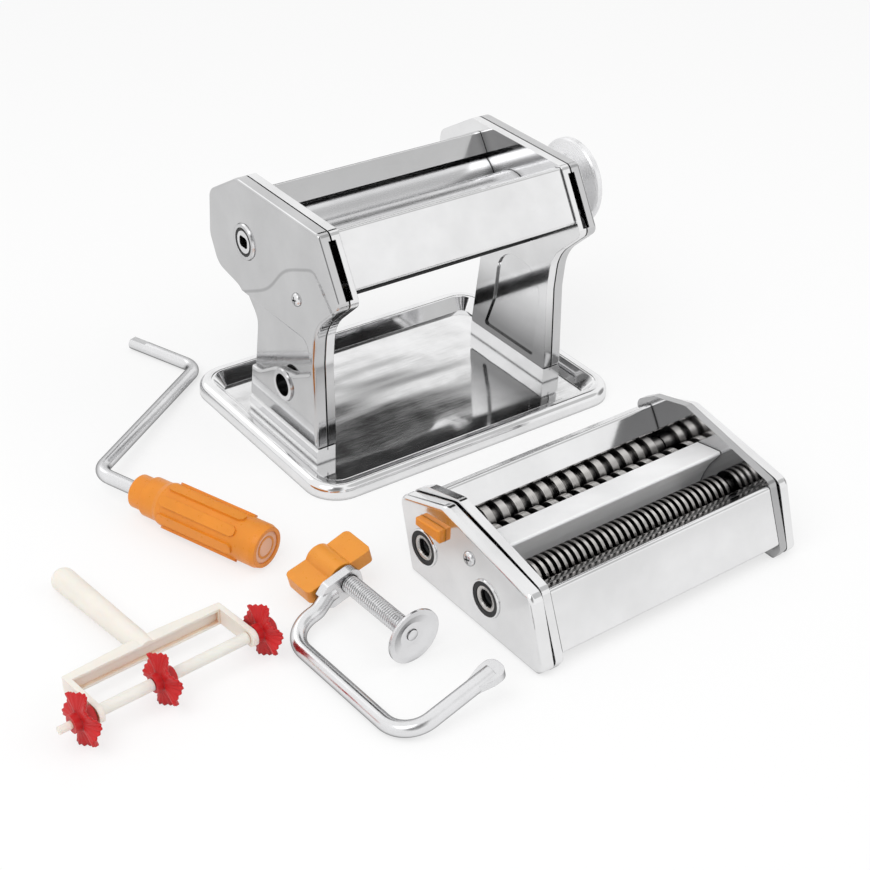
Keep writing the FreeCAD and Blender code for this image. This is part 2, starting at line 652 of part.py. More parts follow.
def spur_gear(label, start, width, pitch_radius, teeth, bore, frame):
    """Spur gear: a disc with one tapered tooth repeated round the X axis."""
    wheel = new_body(label, frame)
    module = f"(2*{pitch_radius}/{teeth})"
    root = f"({pitch_radius}-1.2*{module})"
    disc = sketch_on(wheel, "YZ_Plane", start)
    polygon(disc, 2 * int(number(teeth)), root)
    circle(disc, "0", "0", bore)
    pad(wheel, disc, width)
    tooth = sketch_on(wheel, "YZ_Plane", start)
    tip = f"{pitch_radius}+0.85*{module}"
    outline(tooth, [(f"{root}-0.6", f"-{module}*1.0"), (tip, f"-{module}*0.3"),
                    (tip, f"{module}*0.3"), (f"{root}-0.6", f"{module}*1.0")])
    ring_of(wheel, pad(wheel, tooth, width), "X_Axis", teeth)
    return wheel


def machine_gears():
    """Meshing pair in the left side's cavity; the rear one is turned by half a tooth."""
    start = f"-({GEAR_START}+gear_width)"
    spur_gear("drive_gear", start, "gear_width", PITCH_RADIUS, "gear_tooth_count",
              "shaft_radius+0.03", dict(REAR_AXLE, roll="180/gear_tooth_count"))
    spur_gear("front_gear", start, "gear_width", PITCH_RADIUS, "gear_tooth_count",
              "idler_shaft_radius+0.03", FRONT_AXLE)


def rear_bush(label, side):
    """Flanged bush of the rear roller in a side plate."""
    bore = "shaft_radius+shaft_clearance"
    return turned(label, [
        (f"{side}*{INNER}", bore), (f"{side}*({INNER}+sheet_gauge+1.6)", bore),
        (f"{side}*({INNER}+sheet_gauge+1.6)", "shaft_radius+3.5"),
        (f"{side}*({INNER}+sheet_gauge)", "shaft_radius+3.5"),
        (f"{side}*({INNER}+sheet_gauge)", "shaft_radius+1.75"),
        (f"{side}*{INNER}", "shaft_radius+1.75")], frame=REAR_AXLE)


def carrier_edge():
    """Rounded outline of a bearing block."""
    return [(f"{FRONT_AXIS}{sy}carrier_reach", f"roller_height{sz}carrier_rise", "4")
            for sy, sz in RECTANGLE]


def carrier(label, side):
    """Sliding bearing block of the front roller against a side plate."""
    right = side == "1"
    block = new_body(label)
    start = f"{side}*({INNER}+sheet_gauge+0.2)"
    plate = sketch_on(block, "YZ_Plane", start)
    outline(plate, carrier_edge())
    circle(plate, FRONT_AXIS, "roller_height", "idler_shaft_radius+shaft_clearance")
    pad(block, plate, "carrier_gauge", backwards=not right)
    if right:
        yoke = sketch_on(block, "YZ_Plane", f"{INNER}+sheet_gauge+2")
        outline(yoke, carrier_edge())
        centre = f"{FRONT_AXIS}+eccentric_throw"
        outline(yoke, [(f"{centre}{sy}(eccentric_radius+yoke_play)",
                        f"roller_height{sz}(eccentric_radius+eccentric_throw+yoke_play)")
                       for sy, sz in RECTANGLE])
        pad(block, yoke, "yoke_gauge")
    return block


def drive_socket():
    """Bright eyelet and black bush round the keyed end of the drive shaft."""
    face = f"-{OUTER}"
    turned("drive_socket_ring", [
        (face, "drive_bush_radius+0.02"), (f"{face}-flange_gauge", "drive_bush_radius+0.02"),
        (f"{face}-flange_gauge", "drive_ring_radius-0.6"), (face, "drive_ring_radius")],
        frame=REAR_AXLE)
    turned("drive_bush", tube_corners(f"{face}-1", f"{face}+2.6", "shaft_radius+shaft_clearance",
                                      "drive_bush_radius"), frame=REAR_AXLE)


def clamp_socket():
    """Flanged tube through the left side that takes the clamp's end."""
    face = f"-{OUTER}"
    wall = "(socket_bore_radius+socket_wall)"
    turned("clamp_socket", [
        (f"-{INNER}", "socket_bore_radius"), (f"{face}-flange_gauge", "socket_bore_radius"),
        (f"{face}-flange_gauge", "socket_flange_radius-0.6"), (face, "socket_flange_radius"),
        (face, wall), (f"-{INNER}", wall)],
        frame={"y": "-socket_reach", "z": "socket_height"})


# ---------------------------------------------------------------- thickness dial

def dial_spindle():
    """Spindle from the eccentric through the right cover to a retaining head."""
    tip = f"({DIAL_START}+dial_length)"
    start = f"({INNER}+sheet_gauge+2.8)"
    return turned("dial_spindle", [
        (start, "0"), (start, "spindle_radius"), (f"{tip}-6", "spindle_radius"),
        (f"{tip}-6", "dial_bore_radius-2"), (f"{tip}-4", "dial_bore_radius-2"),
        (f"{tip}-4", "0")], frame=FRONT_AXLE)


def dial_cam():
    """Eccentric disc on the spindle that moves the right carrier."""
    cam = new_body("dial_cam", FRONT_AXLE)
    disc = sketch_on(cam, "YZ_Plane", f"{INNER}+sheet_gauge+2.8")
    circle(disc, "eccentric_throw", "0", "eccentric_radius")
    circle(disc, "0", "0", "spindle_radius+0.02")
    pad(cam, disc, "cam_gauge")
    return cam


def dial_knob():
    """Pull-and-turn knob: long skirt, wide rim, hollow towards the cover."""
    start = DIAL_START
    end = f"({DIAL_START}+dial_length)"
    bore = "spindle_radius+shaft_clearance"
    seat = f"({end}-6-dial_pull-1.6)"
    knob = turned("dial_knob", [
        (start, "dial_skirt_radius-5.5"), (start, "dial_skirt_radius-0.8"),
        (f"{start}+0.8", "dial_skirt_radius"),
        (f"{end}-dial_rim_width-4", "dial_skirt_radius"),
        (f"{end}-dial_rim_width", "dial_rim_radius-1"), (f"{end}-dial_rim_width+1", "dial_rim_radius"),
        (f"{end}-1", "dial_rim_radius"), (end, "dial_rim_radius-1"),
        (end, "dial_bore_radius"), (seat, "dial_bore_radius"), (seat, bore),
        (f"{start}+3", bore), (f"{start}+3", "spindle_radius+3"),
        (f"{start}+12", "spindle_radius+3"), (f"{start}+12", "dial_skirt_radius-5.5")],
        frame=FRONT_AXLE)
    hole = sketch_on(knob, "YZ_Plane", start)
    circle(hole, "index_radius", "0", "index_pin_radius+0.02")
    cut(knob, hole, "8", along_normal=True)
    return knob


def dial_pin():
    """Index pin in the knob's skirt; its tip stands over the first hole of the cover."""
    return rod("dial_pin", "index_pin_radius", "8+dial_gap-0.1",
               {"x": f"{OUTER}+0.1", "y": f"{FRONT_AXIS}+index_radius", "z": "roller_height",
                "pitch": "90"})


def dial_spring():
    """Dished washer on the knob's seat, pressed by the spindle's head."""
    seat = f"({DIAL_START}+dial_length-6-dial_pull-1.6)"
    return turned("dial_spring", [
        (seat, "dial_bore_radius-1"), (f"{seat}+0.8", "spindle_radius+0.8"),
        (f"{seat}+1.5", "spindle_radius+0.8"), (f"{seat}+0.7", "dial_bore_radius-1")],
        frame=FRONT_AXLE)


# ---------------------------------------------------------------- crank

CRANK_TILT = "asin((grip_rib_radius-rod_radius)/crank_throw)"
CRANK_FRAME = {"x": "crank_x", "y": "crank_y", "z": "rod_radius",
               "yaw": "crank_heading_turn", "roll": f"-{CRANK_TILT}"}
GRIP_AXIS = "-crank_throw"
GRIP_START = "(crank_tip_length+crank_rise+crank_lead)"


def crank_rod():
    """Bent round rod: keyed end, arm, and a straight end inside the grip."""
    crank = new_body("crank_rod", CRANK_FRAME)
    path = sketch_on(crank, "XY_Plane")
    outline(path, [("0", "0"), ("crank_tip_length", "0", "crank_bend"),
                   ("crank_tip_length+crank_rise", GRIP_AXIS, "crank_bend"),
                   (f"{GRIP_START}+grip_length-6", GRIP_AXIS)], closed=False)
    section = sketch_on(crank, "YZ_Plane")
    circle(section, "0", "0", "rod_radius")
    pipe = crank.newObject("PartDesign::AdditivePipe", "Rod")
    pipe.Profile = section
    pipe.Spine = (path, [])
    flats = sketch_on(crank, "YZ_Plane")
    for sign in ("", "-"):
        outline(flats, [("-rod_radius-1", f"{sign}flat_height/2"),
                        ("rod_radius+1", f"{sign}flat_height/2"),
                        ("rod_radius+1", f"{sign}(rod_radius+1)"),
                        ("-rod_radius-1", f"{sign}(rod_radius+1)")])
    cut(crank, flats, "flat_length", along_normal=True)
    return crank


def crank_grip():
    """Turned grip with a stepped neck and flat ribs round its middle."""
    grip = new_body("crank_grip", CRANK_FRAME)
    bore = "rod_radius+grip_clearance"
    profile = sketch_on(grip, "XY_Plane")
    outline(profile, [
        ("0", bore), ("0", "grip_neck_radius-1"), ("1", "grip_neck_radius"),
        ("9", "grip_neck_radius"), ("10", "grip_collar_radius"),
        ("19", "grip_collar_radius"), ("22", "grip_radius"),
        ("grip_length-3", "grip_radius"), ("grip_length", "grip_radius-1"),
        ("grip_length", "grip_cap_radius"), ("grip_length-2.5", "grip_cap_radius"),
        ("grip_length-2.5", bore)])
    spin(grip, profile, "H_Axis")
    rib = sketch_on(grip, "XY_Plane", "grip_radius-1")
    outline(rib, [("24", "-1.5"), ("26", "-3"), ("grip_length-16", "-3"),
                  ("grip_length-14", "-1.5"), ("grip_length-14", "1.5"),
                  ("grip_length-16", "3"), ("26", "3"), ("24", "1.5")])
    ring_of(grip, pad(grip, rib, "grip_rib_radius-grip_radius+1"), "X_Axis", "grip_rib_count")
    return seat_in_crank(grip)


def seat_in_crank(piece):
    """Put a piece made along the local X axis onto the crank's grip axis, one rib down."""
    yaw = "crank_heading_turn"
    lift = f"(crank_throw*sin({CRANK_TILT}))"
    across = f"(crank_throw*cos({CRANK_TILT}))"
    place(piece, yaw=yaw,
          x=f"crank_x+{GRIP_START}*cos({yaw})+{across}*sin({yaw})",
          y=f"crank_y+{GRIP_START}*sin({yaw})-{across}*cos({yaw})",
          z=f"rod_radius+{lift}")
    return piece


def grip_end_cap():
    """Pale cap sunk into the end of the grip."""
    return seat_in_crank(turned("grip_end_cap", [
        ("grip_length-2.5", "0"), ("grip_length-2.5", "grip_cap_radius-0.02"),
        ("grip_length-0.8", "grip_cap_radius-0.02"), ("grip_length-0.8", "0")]))


# ---------------------------------------------------------------- table clamp

CLAMP_TILT = "asin((clamp_pad_radius-clamp_rod_radius)/clamp_axis)"
CLAMP_FRAME = {"x": "clamp_x", "y": "clamp_y", "z": "clamp_rod_radius",
               "yaw": "clamp_heading_turn", "pitch": f"-{CLAMP_TILT}"}
EYE_LINE = "(clamp_back+clamp_jog)"


def clamp_frame():
    """Bent rod: flattened peg end, back, jogged arm and the threaded eye."""
    frame = new_body("clamp_frame", CLAMP_FRAME)
    path = sketch_on(frame, "XY_Plane")
    outline(path, [("clamp_reach-6", "0"), ("0", "0", "clamp_bend"),
                   ("0", "clamp_back", "clamp_bend"), ("20", "clamp_back", "8"),
                   ("30", EYE_LINE, "8"), ("34", EYE_LINE)], closed=False)
    section = sketch_on(frame, "YZ_Plane", "clamp_reach-6")
    circle(section, "0", "0", "clamp_rod_radius")
    pipe = frame.newObject("PartDesign::AdditivePipe", "Rod")
    pipe.Profile = section
    pipe.Spine = (path, [])
    eye = sketch_on(frame, "XZ_Plane", f"-{EYE_LINE}")
    outline(eye, [("25", "-clamp_rod_radius+0.6"), ("30", "-eye_width/2", "3"),
                  ("clamp_axis+eye_width/2", "-eye_width/2", "6"),
                  ("clamp_axis+eye_width/2", "eye_width/2", "6"), ("30", "eye_width/2", "3"),
                  ("25", "clamp_rod_radius-0.6")])
    pad(frame, eye, "eye_thickness", both=True)
    paddle = sketch_on(frame, "XY_Plane")
    start = "clamp_reach-paddle_length"
    outline(paddle, [(start, "-clamp_rod_radius+0.4"), (f"{start}+8", "-paddle_width/2+0.5", "6"),
                     ("clamp_reach", "-paddle_width/2", "5"), ("clamp_reach", "paddle_width/2", "5"),
                     (f"{start}+8", "paddle_width/2-0.5", "6"), (start, "clamp_rod_radius-0.4")])
    pad(frame, paddle, "clamp_rod_radius", both=True)
    thread = sketch_on(frame, "XZ_Plane", f"-{EYE_LINE}")
    circle(thread, "clamp_axis", "0", "clamp_thread_radius+shaft_clearance")
    cut(frame, thread, "eye_thickness+1", both=True)
    return frame


def seat_on_screw(piece):
    """Put a piece made about the local Y axis onto the clamp's screw axis."""
    yaw = "clamp_heading_turn"
    across = f"(clamp_axis*cos({CLAMP_TILT}))"
    place(piece, yaw=yaw, pitch=f"-{CLAMP_TILT}", x=f"clamp_x+{across}*cos({yaw})",
          y=f"clamp_y+{across}*sin({yaw})",
          z=f"clamp_rod_radius+clamp_axis*sin({CLAMP_TILT})")
    return piece


def clamp_screw():
    """Clamp screw at its thread's outer radius, riveted over at the pad."""
    start = "(pad_station-0.6)"
    end = f"({EYE_LINE}+eye_thickness/2+wing_gap+wing_depth-4)"
    return seat_on_screw(turned("clamp_screw", [
        (start, "0"), (start, "3"), ("pad_station+0.4+clamp_pad_gauge", "3"),
        ("pad_station+0.4+clamp_pad_gauge", "clamp_thread_radius"),
        (end, "clamp_thread_radius"), (end, "0")], axis="Y"))


def clamp_pad():
    """Dished pressure pad that swivels on the screw's riveted end."""
    face = "pad_station"
    gauge = "clamp_pad_gauge"
    return seat_on_screw(turned("clamp_pad", [
        (f"{face}+0.3", "3.1"), (f"{face}+0.3", "7"), (f"{face}-1.2", "clamp_pad_radius-3"),
        (f"{face}-1.6", "clamp_pad_radius"), (f"{face}-1.6+{gauge}", "clamp_pad_radius"),
        (f"{face}-1.2+{gauge}", "clamp_pad_radius-3"), (f"{face}+0.3+{gauge}", "7"),
        (f"{face}+0.3+{gauge}", "3.1")], axis="Y"))


def clamp_wing_knob():
    """Moulded wing knob: two flat wings on a round hub."""
    knob = new_body("clamp_wing_knob")
    base = f"({EYE_LINE}+eye_thickness/2+wing_gap)"
    hub = sketch_on(knob, "XY_Plane")
    outline(hub, [("clamp_thread_radius+0.02", base), ("wing_hub_radius", base),
                  ("wing_hub_radius", f"{base}+wing_depth-1"),
                  ("wing_hub_radius-1", f"{base}+wing_depth"), ("0", f"{base}+wing_depth"),
                  ("0", f"{base}+wing_depth-4"), ("clamp_thread_radius+0.02", f"{base}+wing_depth-4")])
    spin(knob, hub, "V_Axis")
    for side in ("", "-"):
        wing = sketch_on(knob, "XY_Plane")
        outline(wing, [(f"{side}(wing_hub_radius-1.6)", f"{base}+1"),
                       (f"{side}wing_span/2", f"{base}+0.5", "3"),
                       (f"{side}wing_span/2", f"{base}+wing_depth-0.5", "3"),
                       (f"{side}(wing_hub_radius-1.6)", f"{base}+wing_depth-1")])
        pad(knob, wing, "wing_thickness", both=True)
    return seat_on_screw(knob)


# ---------------------------------------------------------------- cutter head

CUTTER_FRAME = {"x": "cutter_x", "y": "cutter_y", "yaw": "cutter_turn"}
CUTTER_COVER = [
    ("cutter_rear-12.5", "0", "2"), ("cutter_rear", "cutter_height-13.5", "6"),
    ("22", "cutter_height", "8"), ("-cutter_front+13", "cutter_height-12.5", "7"),
    ("-cutter_front", "5", "4"), ("-cutter_front+5", "0", "2"),
]
CUTTER_PLATE = [
    ("cutter_rear-13.5", "0", "2"), ("cutter_rear-3", "cutter_height-12", "5"),
    ("44.6", "cutter_height-4", "4"), ("20", "cutter_height+2.3", "6"),
    ("-cutter_front+15", "cutter_height-12", "6"), ("-cutter_front", "7", "4"),
    ("-cutter_front+4", "0", "2"),
]
CUTTER_LIP = [
    ("-cutter_front+19.9", "cutter_height-10.93"), ("20", "cutter_height+2.3", "6"),
    ("44.6", "cutter_height-4", "4"), ("cutter_rear-6.3", "cutter_height-9.8"),
    ("cutter_rear-7.9", "cutter_height-12.4"), ("22", "cutter_height-1.8"),
    ("-cutter_front+20", "cutter_height-13.2"),
]
CUTTER_AXES = {
    "wide_drive": "wide_axis", "wide_mate": "(wide_axis-cutter_spacing)",
    "narrow_drive": "(-narrow_axis)", "narrow_mate": "(-narrow_axis-cutter_spacing)",
}


def cutter_axle(axis_y, phase="0"):
    """Placement of a piece made about the local X axis onto a cutter roller's axis."""
    return {"x": f"cutter_x-({axis_y})*sin(cutter_turn)",
            "y": f"cutter_y+({axis_y})*cos(cutter_turn)", "z": "cutter_axis_height",
            "yaw": "cutter_turn", "roll": phase}


def cutter_plate(label, side):
    """Inner plate of the cutter head with its four roller holes."""
    right = side == "1"
    plate = new_body(label, CUTTER_FRAME)
    profile = sketch_on(plate, "YZ_Plane", f"{side}*{CUT_INNER}")
    outline(profile, CUTTER_PLATE)
    block = pad(plate, profile, "cutter_plate_depth", backwards=not right)
    lip = number(f"{side}*({CUT_INNER}+cutter_plate_depth)")
    hollow(plate, block, "sheet_gauge", lambda face: lies_at(face, "x", lip))
    flange = sketch_on(plate, "YZ_Plane", f"{side}*({CUT_INNER}+cutter_plate_depth)")
    outline(flange, CUTTER_LIP)
    pad(plate, flange, "sheet_gauge", backwards=right)
    holes = sketch_on(plate, "YZ_Plane", f"{side}*{CUT_INNER}")
    for axis_y in CUTTER_AXES.values():
        circle(holes, axis_y, "cutter_axis_height", "cutter_shaft_radius+shaft_clearance")
    circle(holes, "-0.2", "cutter_screw_height", "screw_radius+0.2")
    cut(plate, holes, "cutter_plate_depth", along_normal=right)
    return plate


def cutter_cover(label, side):
    """Outer cover of the cutter head."""
    right = side == "1"
    cover = new_body(label, CUTTER_FRAME)
    profile = sketch_on(cover, "YZ_Plane", f"{side}*{CUT_SEAM}")
    outline(profile, CUTTER_COVER)
    block = pad(cover, profile, "cutter_cover_depth", backwards=not right)
    seam = number(f"{side}*{CUT_SEAM}")
    pan = hollow(cover, block, "sheet_gauge", lambda face: lies_at(face, "x", seam))
    outer = number(f"{side}*{CUT_OUTER}")
    round_edges(cover, pan, "cutter_round", lambda edge: lies_at(edge, "x", outer))
    holes = sketch_on(cover, "YZ_Plane", f"{side}*{CUT_SEAM}")
    circle(holes, "-0.2", "cutter_screw_height", "screw_radius+0.2")
    if not right:
        circle(holes, "wide_axis", "cutter_axis_height", "cutter_face_radius+0.1")
        circle(holes, "-narrow_axis", "cutter_axis_height", "cutter_face_radius+0.1")
        outline(holes, latch_window("latch_gap"))
    cut(cover, holes, "cutter_cover_depth", along_normal=right)
    return cover


def latch_window(gap):
    """Section of the latch, grown by a gap for its window in the cover."""
    low_y = f"latch_station-{gap}"
    high_y = f"latch_station+latch_length+{gap}"
    return [(high_y, f"latch_sill-{gap}"), (high_y, f"latch_sill+latch_height-latch_slope+{gap}"),
            (low_y, f"latch_sill+latch_height+{gap}"), (low_y, f"latch_sill-{gap}")]


def cutter_latch():
    """Release tab that is pressed into the left cover."""
    latch = new_body("cutter_latch", CUTTER_FRAME)
    tab = sketch_on(latch, "YZ_Plane", f"-{CUT_OUTER}-latch_reach")
    outline(tab, latch_window("0"))
    block = pad(latch, tab, "latch_reach+4")
    face = number(f"-{CUT_OUTER}-latch_reach")
    round_edges(latch, block, "latch_round", lambda edge: lies_at(edge, "x", face))
    return latch


def ringed_roller(label, frame, drive, first_ring, ring_width, pitch, count, sides):
    """Cutting roller: a core with evenly spaced rings, prisms with flat sides."""
    roller = new_body(label, frame)
    end = f"({CUT_INNER}-end_gap)"
    core = sketch_on(roller, "YZ_Plane")
    polygon(core, sides, "core_radius")
    pad(roller, core, f"2*{end}", both=True)
    ring = sketch_on(roller, "YZ_Plane", first_ring)
    polygon(ring, sides, "ring_radius")
    row_of(roller, pad(roller, ring, ring_width), "X_Axis", count, pitch)
    shaft = sketch_on(roller, "XY_Plane")
    left = f"-({CUT_GEAR}+cutter_gear_width+0.3)"
    tip = f"-({CUT_OUTER}+0.4)" if drive else left
    right = f"({CUT_INNER}+cutter_plate_depth-1)"
    steps = [(left, "cutter_face_radius"), (tip, "cutter_face_radius")] if drive else []
    outline(shaft, [(right, "0"), (right, "cutter_shaft_radius"), (left, "cutter_shaft_radius"),
                    *steps, (tip, "0")])
    spin(roller, shaft, "H_Axis")
    if drive:
        keyed_hole(roller, tip, "key_depth/2")
    return roller


def cutter_rollers():
    """Wide and narrow pairs; each mate's rings stand between those of its driver."""
    axes = CUTTER_AXES
    for pair, drive_sides, mate_sides in (("wide", 12, 8), ("narrow", 12, 8)):
        pitch, count = f"{pair}_pitch", f"{pair}_ring_count"
        width = f"({pitch}/2-ring_play)"
        start = f"(-({count}*{pitch})/2+ring_play/2)"
        ringed_roller(f"{pair}_drive_roller", cutter_axle(axes[f"{pair}_drive"]), True,
                      start, width, pitch, count, drive_sides)
        ringed_roller(f"{pair}_mate_roller", cutter_axle(axes[f"{pair}_mate"]), False,
                      f"({start}+{pitch}/2)", width, pitch, count, mate_sides)


def cutter_gears():
    """Two meshing gear pairs in the left side; each driver's gear is turned half a tooth."""
    for name, axis_y in CUTTER_AXES.items():
        phase = "180/cutter_gear_count" if name.endswith("drive") else "0"
        spur_gear(f"{name}_gear", f"-({CUT_GEAR}+cutter_gear_width)", "cutter_gear_width",
                  "cutter_spacing/2", "cutter_gear_count", "cutter_shaft_radius+0.03",
                  cutter_axle(axis_y, phase))


def cutter_guides():
    """Folded guides that lead the dough sheet into the two pairs of rollers."""
    length = f"{CUT_INNER}-end_gap+0.1"
    bent_sheet("cutter_rear_guide", [
        ("cutter_rear-15.5", "4"), ("cutter_rear-11.5", "5", "1.5"),
        ("cutter_rear-3.5", "cutter_height-16.5", "3"),
        ("cutter_rear-14", "cutter_height-9.5", "2"),
        ("wide_axis+1.6", "cutter_axis_height+11.6")],
        length, "sheet_gauge", CUTTER_FRAME)
    bent_sheet("cutter_ridge_guide", [
        ("cutter_ridge+5.9", "cutter_height-14.4"), ("cutter_ridge-3", "cutter_height-12.8"),
        ("cutter_ridge-12.6", "cutter_height-11.3", "1.2"),
        ("cutter_ridge-4.8", "cutter_axis_height+10.5"),
        ("cutter_ridge-1.5", "cutter_axis_height+2.7"),
        ("cutter_ridge+0.9", "cutter_axis_height-6")], length, "sheet_gauge", CUTTER_FRAME)
    bent_sheet("cutter_front_panel", [
        ("-cutter_front+6", "5"), ("-cutter_front+1.5", "10.5", "2"),
        ("-cutter_front+14.5", "cutter_height-13.5", "2"),
        ("-cutter_front+23.2", "cutter_height-19", "3"),
        ("-cutter_front+29.5", "cutter_height-22.5")][::-1], length, "sheet_gauge", CUTTER_FRAME)


def cutter_strippers():
    """Two slanted blades under each pair that part the strands from the rollers."""
    for pair in ("wide", "narrow"):
        middle = f"{CUTTER_AXES[pair + '_drive']}-cutter_spacing/2"
        blades = []
        for name, way in (("front", "-"), ("rear", "+")):
            blade = new_body(f"{pair}_{name}_blade", CUTTER_FRAME)
            section = sketch_on(blade, "YZ_Plane")
            outline(section, [(f"{middle}{way}7", "1.5"), (f"{middle}{way}9", "1.5"),
                              (f"{middle}{way}5.4", "11.2"), (f"{middle}{way}4.6", "11.2")])
            pad(blade, section, f"2*({CUT_INNER}-end_gap)", both=True)
            blades.append(blade)
        gather(f"{pair}_stripper", blades)


def cutter_fasteners():
    """Tie rod, cover screws and the black rings round the two drive sockets."""
    lift = {"x": "cutter_x+0.2*sin(cutter_turn)", "y": "cutter_y-0.2*cos(cutter_turn)",
            "z": "cutter_screw_height", "yaw": "cutter_turn"}
    start = {"x": f"cutter_x+0.2*sin(cutter_turn)-{CUT_INNER}*cos(cutter_turn)",
             "y": f"cutter_y-0.2*cos(cutter_turn)-{CUT_INNER}*sin(cutter_turn)",
             "z": "cutter_screw_height", "yaw": "cutter_turn", "pitch": "90"}
    rod("cutter_tie_rod", "hopper_rod_radius", "cutter_inner", start)
    gather("cutter_screws", [cover_screw(f"cutter_screw_{name}", side, CUT_OUTER, CUT_INNER, lift)
                             for name, side in (("left", "-1"), ("right", "1"))])
    gather("cutter_socket_rings", [
        turned(f"{name}_socket_ring", [
            (f"-{CUT_OUTER}", "cutter_face_radius+0.1"),
            (f"-{CUT_OUTER}-0.8", "cutter_face_radius+0.1"),
            (f"-{CUT_OUTER}-0.8", "cutter_ring_radius-0.4"),
            (f"-{CUT_OUTER}", "cutter_ring_radius")], frame=cutter_axle(axis_y))
        for name, axis_y in (("wide", "wide_axis"), ("narrow", "(-narrow_axis)"))])


# ---------------------------------------------------------------- three-wheel cutter

TOOL_TILT = "asin((wheel_radius-handle_radius)/(fork_depth+handle_length-handle_radius))"
TOOL_FRAME = {"x": "tool_x", "y": "tool_y", "z": "wheel_radius", "yaw": "tool_turn",
              "roll": f"-{TOOL_TILT}"}


def tool_handle():
    """Moulded fork and round handle in one piece."""
    tool = new_body("tool_handle", TOOL_FRAME)
    handle = sketch_on(tool, "XY_Plane")
    start = "fork_depth-crossbar_depth/2"
    end = "(fork_depth+handle_length)"
    outline(handle, [("0", start), ("handle_radius*0.85", start),
                     ("handle_radius", f"{end}-handle_radius*0.9"),
                     ("handle_radius", end, "handle_radius*0.85"), ("0", end)])
    spin(tool, handle, "V_Axis")
    bar = sketch_on(tool, "XY_Plane")
    outline(bar, [("-crossbar_length/2", "fork_depth-crossbar_depth/2"),
                  ("crossbar_length/2", "fork_depth-crossbar_depth/2"),
                  ("crossbar_length/2", "fork_depth+crossbar_depth/2-1", "1"),
                  ("handle_radius+3", "fork_depth+crossbar_depth/2+1"),
                  ("-handle_radius-3", "fork_depth+crossbar_depth/2+1"),
                  ("-crossbar_length/2", "fork_depth+crossbar_depth/2-1", "1")])
    pad(tool, bar, "fork_height", both=True)
    recess = sketch_on(tool, "XZ_Plane", "-(fork_depth-crossbar_depth/2)")
    outline(recess, [(f"{sx}(crossbar_length/2-4)", f"{sz}(fork_height/2-1.4)")
                     for sx, sz in RECTANGLE])
    cut(tool, recess, "crossbar_recess")
    for side in ("", "-"):
        prong = sketch_on(tool, "YZ_Plane", f"{side}fork_half_width")
        half = "fork_height/2"
        outline(prong, [(f"-{half}-1", f"-{half}", f"{half}-0.5"),
                        ("fork_depth", f"-{half}"), ("fork_depth", half),
                        (f"-{half}-1", half, f"{half}-0.5")])
        circle(prong, "0", "0", "axle_radius+0.03")
        pad(tool, prong, "fork_plate", both=True)
    return tool


def along_axle(start, radius, length, label):
    """A cylinder along the tool's axle."""
    yaw = "tool_turn"
    return rod(label, radius, length, {
        "x": f"tool_x+({start})*cos({yaw})", "y": f"tool_y+({start})*sin({yaw})",
        "z": "wheel_radius", "yaw": yaw, "pitch": "90"})


def tool_spacers():
    """Two sleeves on the axle on either side of the middle wheel."""
    inside = "(fork_half_width-fork_plate/2-0.2)"
    left_end = "(-middle_station-wheel_hub_length/2-0.3)"
    right_start = "(-middle_station+wheel_hub_length/2+0.3)"
    return gather("tool_spacers", [
        turned(f"tool_spacer_{name}", tube_corners(start, end, "axle_radius+0.03", "spacer_radius"),
               frame=TOOL_FRAME)
        for name, start, end in (("left", f"-{inside}", left_end),
                                 ("right", right_start, inside))])


def wavy_wheel(label, station):
    """Toothed cutting wheel whose rim swings from side to side in even waves."""
    radius, hub = number("wheel_radius"), number("wheel_hub_radius")
    wave, waves = number("wheel_wave"), int(number("wheel_wave_count"))
    half_gauge, tooth = number("wheel_gauge") / 2, number("wheel_tooth")
    steps = 2 * int(number("wheel_tooth_count"))
    rings = {"hub_low": [], "hub_high": [], "rim_low": [], "rim_high": []}
    for step in range(steps):
        angle = 2 * math.pi * step / steps
        swing = wave * math.sin(waves * angle)
        edge = radius - (tooth if step % 2 else 0)
        for name, reach, shift in (("hub_low", hub - 1, -half_gauge * 1.5),
                                   ("hub_high", hub - 1, half_gauge * 1.5),
                                   ("rim_low", edge, swing - half_gauge * 0.75),
                                   ("rim_high", edge, swing + half_gauge * 0.75)):
            rings[name].append(FreeCAD.Vector(
                shift, reach * math.cos(angle), reach * math.sin(angle)))
    faces = []
    for low, high in (("hub_low", "rim_low"), ("rim_low", "rim_high"),
                      ("rim_high", "hub_high"), ("hub_high", "hub_low")):
        for step in range(steps):
            after = (step + 1) % steps
            corners = (rings[low][step], rings[low][after], rings[high][after], rings[high][step])
            for trio in ((0, 1, 2), (0, 2, 3)):
                faces.append(Part.Face(Part.makePolygon([corners[k] for k in trio + trio[:1]])))
    disc = Part.Solid(Part.makeShell(faces))
    half_hub = number("wheel_hub_length") / 2
    axis = FreeCAD.Vector(1, 0, 0)
    sleeve = Part.makeCylinder(hub, 2 * half_hub, FreeCAD.Vector(-half_hub, 0, 0), axis)
    bore = Part.makeCylinder(number("axle_radius+wheel_play"), 4 * half_hub,
                             FreeCAD.Vector(-2 * half_hub, 0, 0), axis)
    if disc.Volume < 0:
        disc.reverse()
    wheel = document.addObject("Part::Feature", label)
    wheel.Label = label
    wheel.Shape = disc.fuse(sleeve).cut(bore)
    yaw = "tool_turn"
    place(wheel, x=f"tool_x+({station})*cos({yaw})", y=f"tool_y+({station})*sin({yaw})",
          z="wheel_radius", yaw=yaw)
    return wheel


def wheel_cutter():
    """Fork, axle, spacers and the three wheels."""
    tool_handle()
    along_axle("-axle_length/2-2.5", "axle_radius", "axle_length", "tool_axle")
    tool_spacers()
    for name, station in (("left", "-wheel_station"), ("middle", "-middle_station"),
                          ("right", "wheel_station")):
        wavy_wheel(f"tool_wheel_{name}", station)


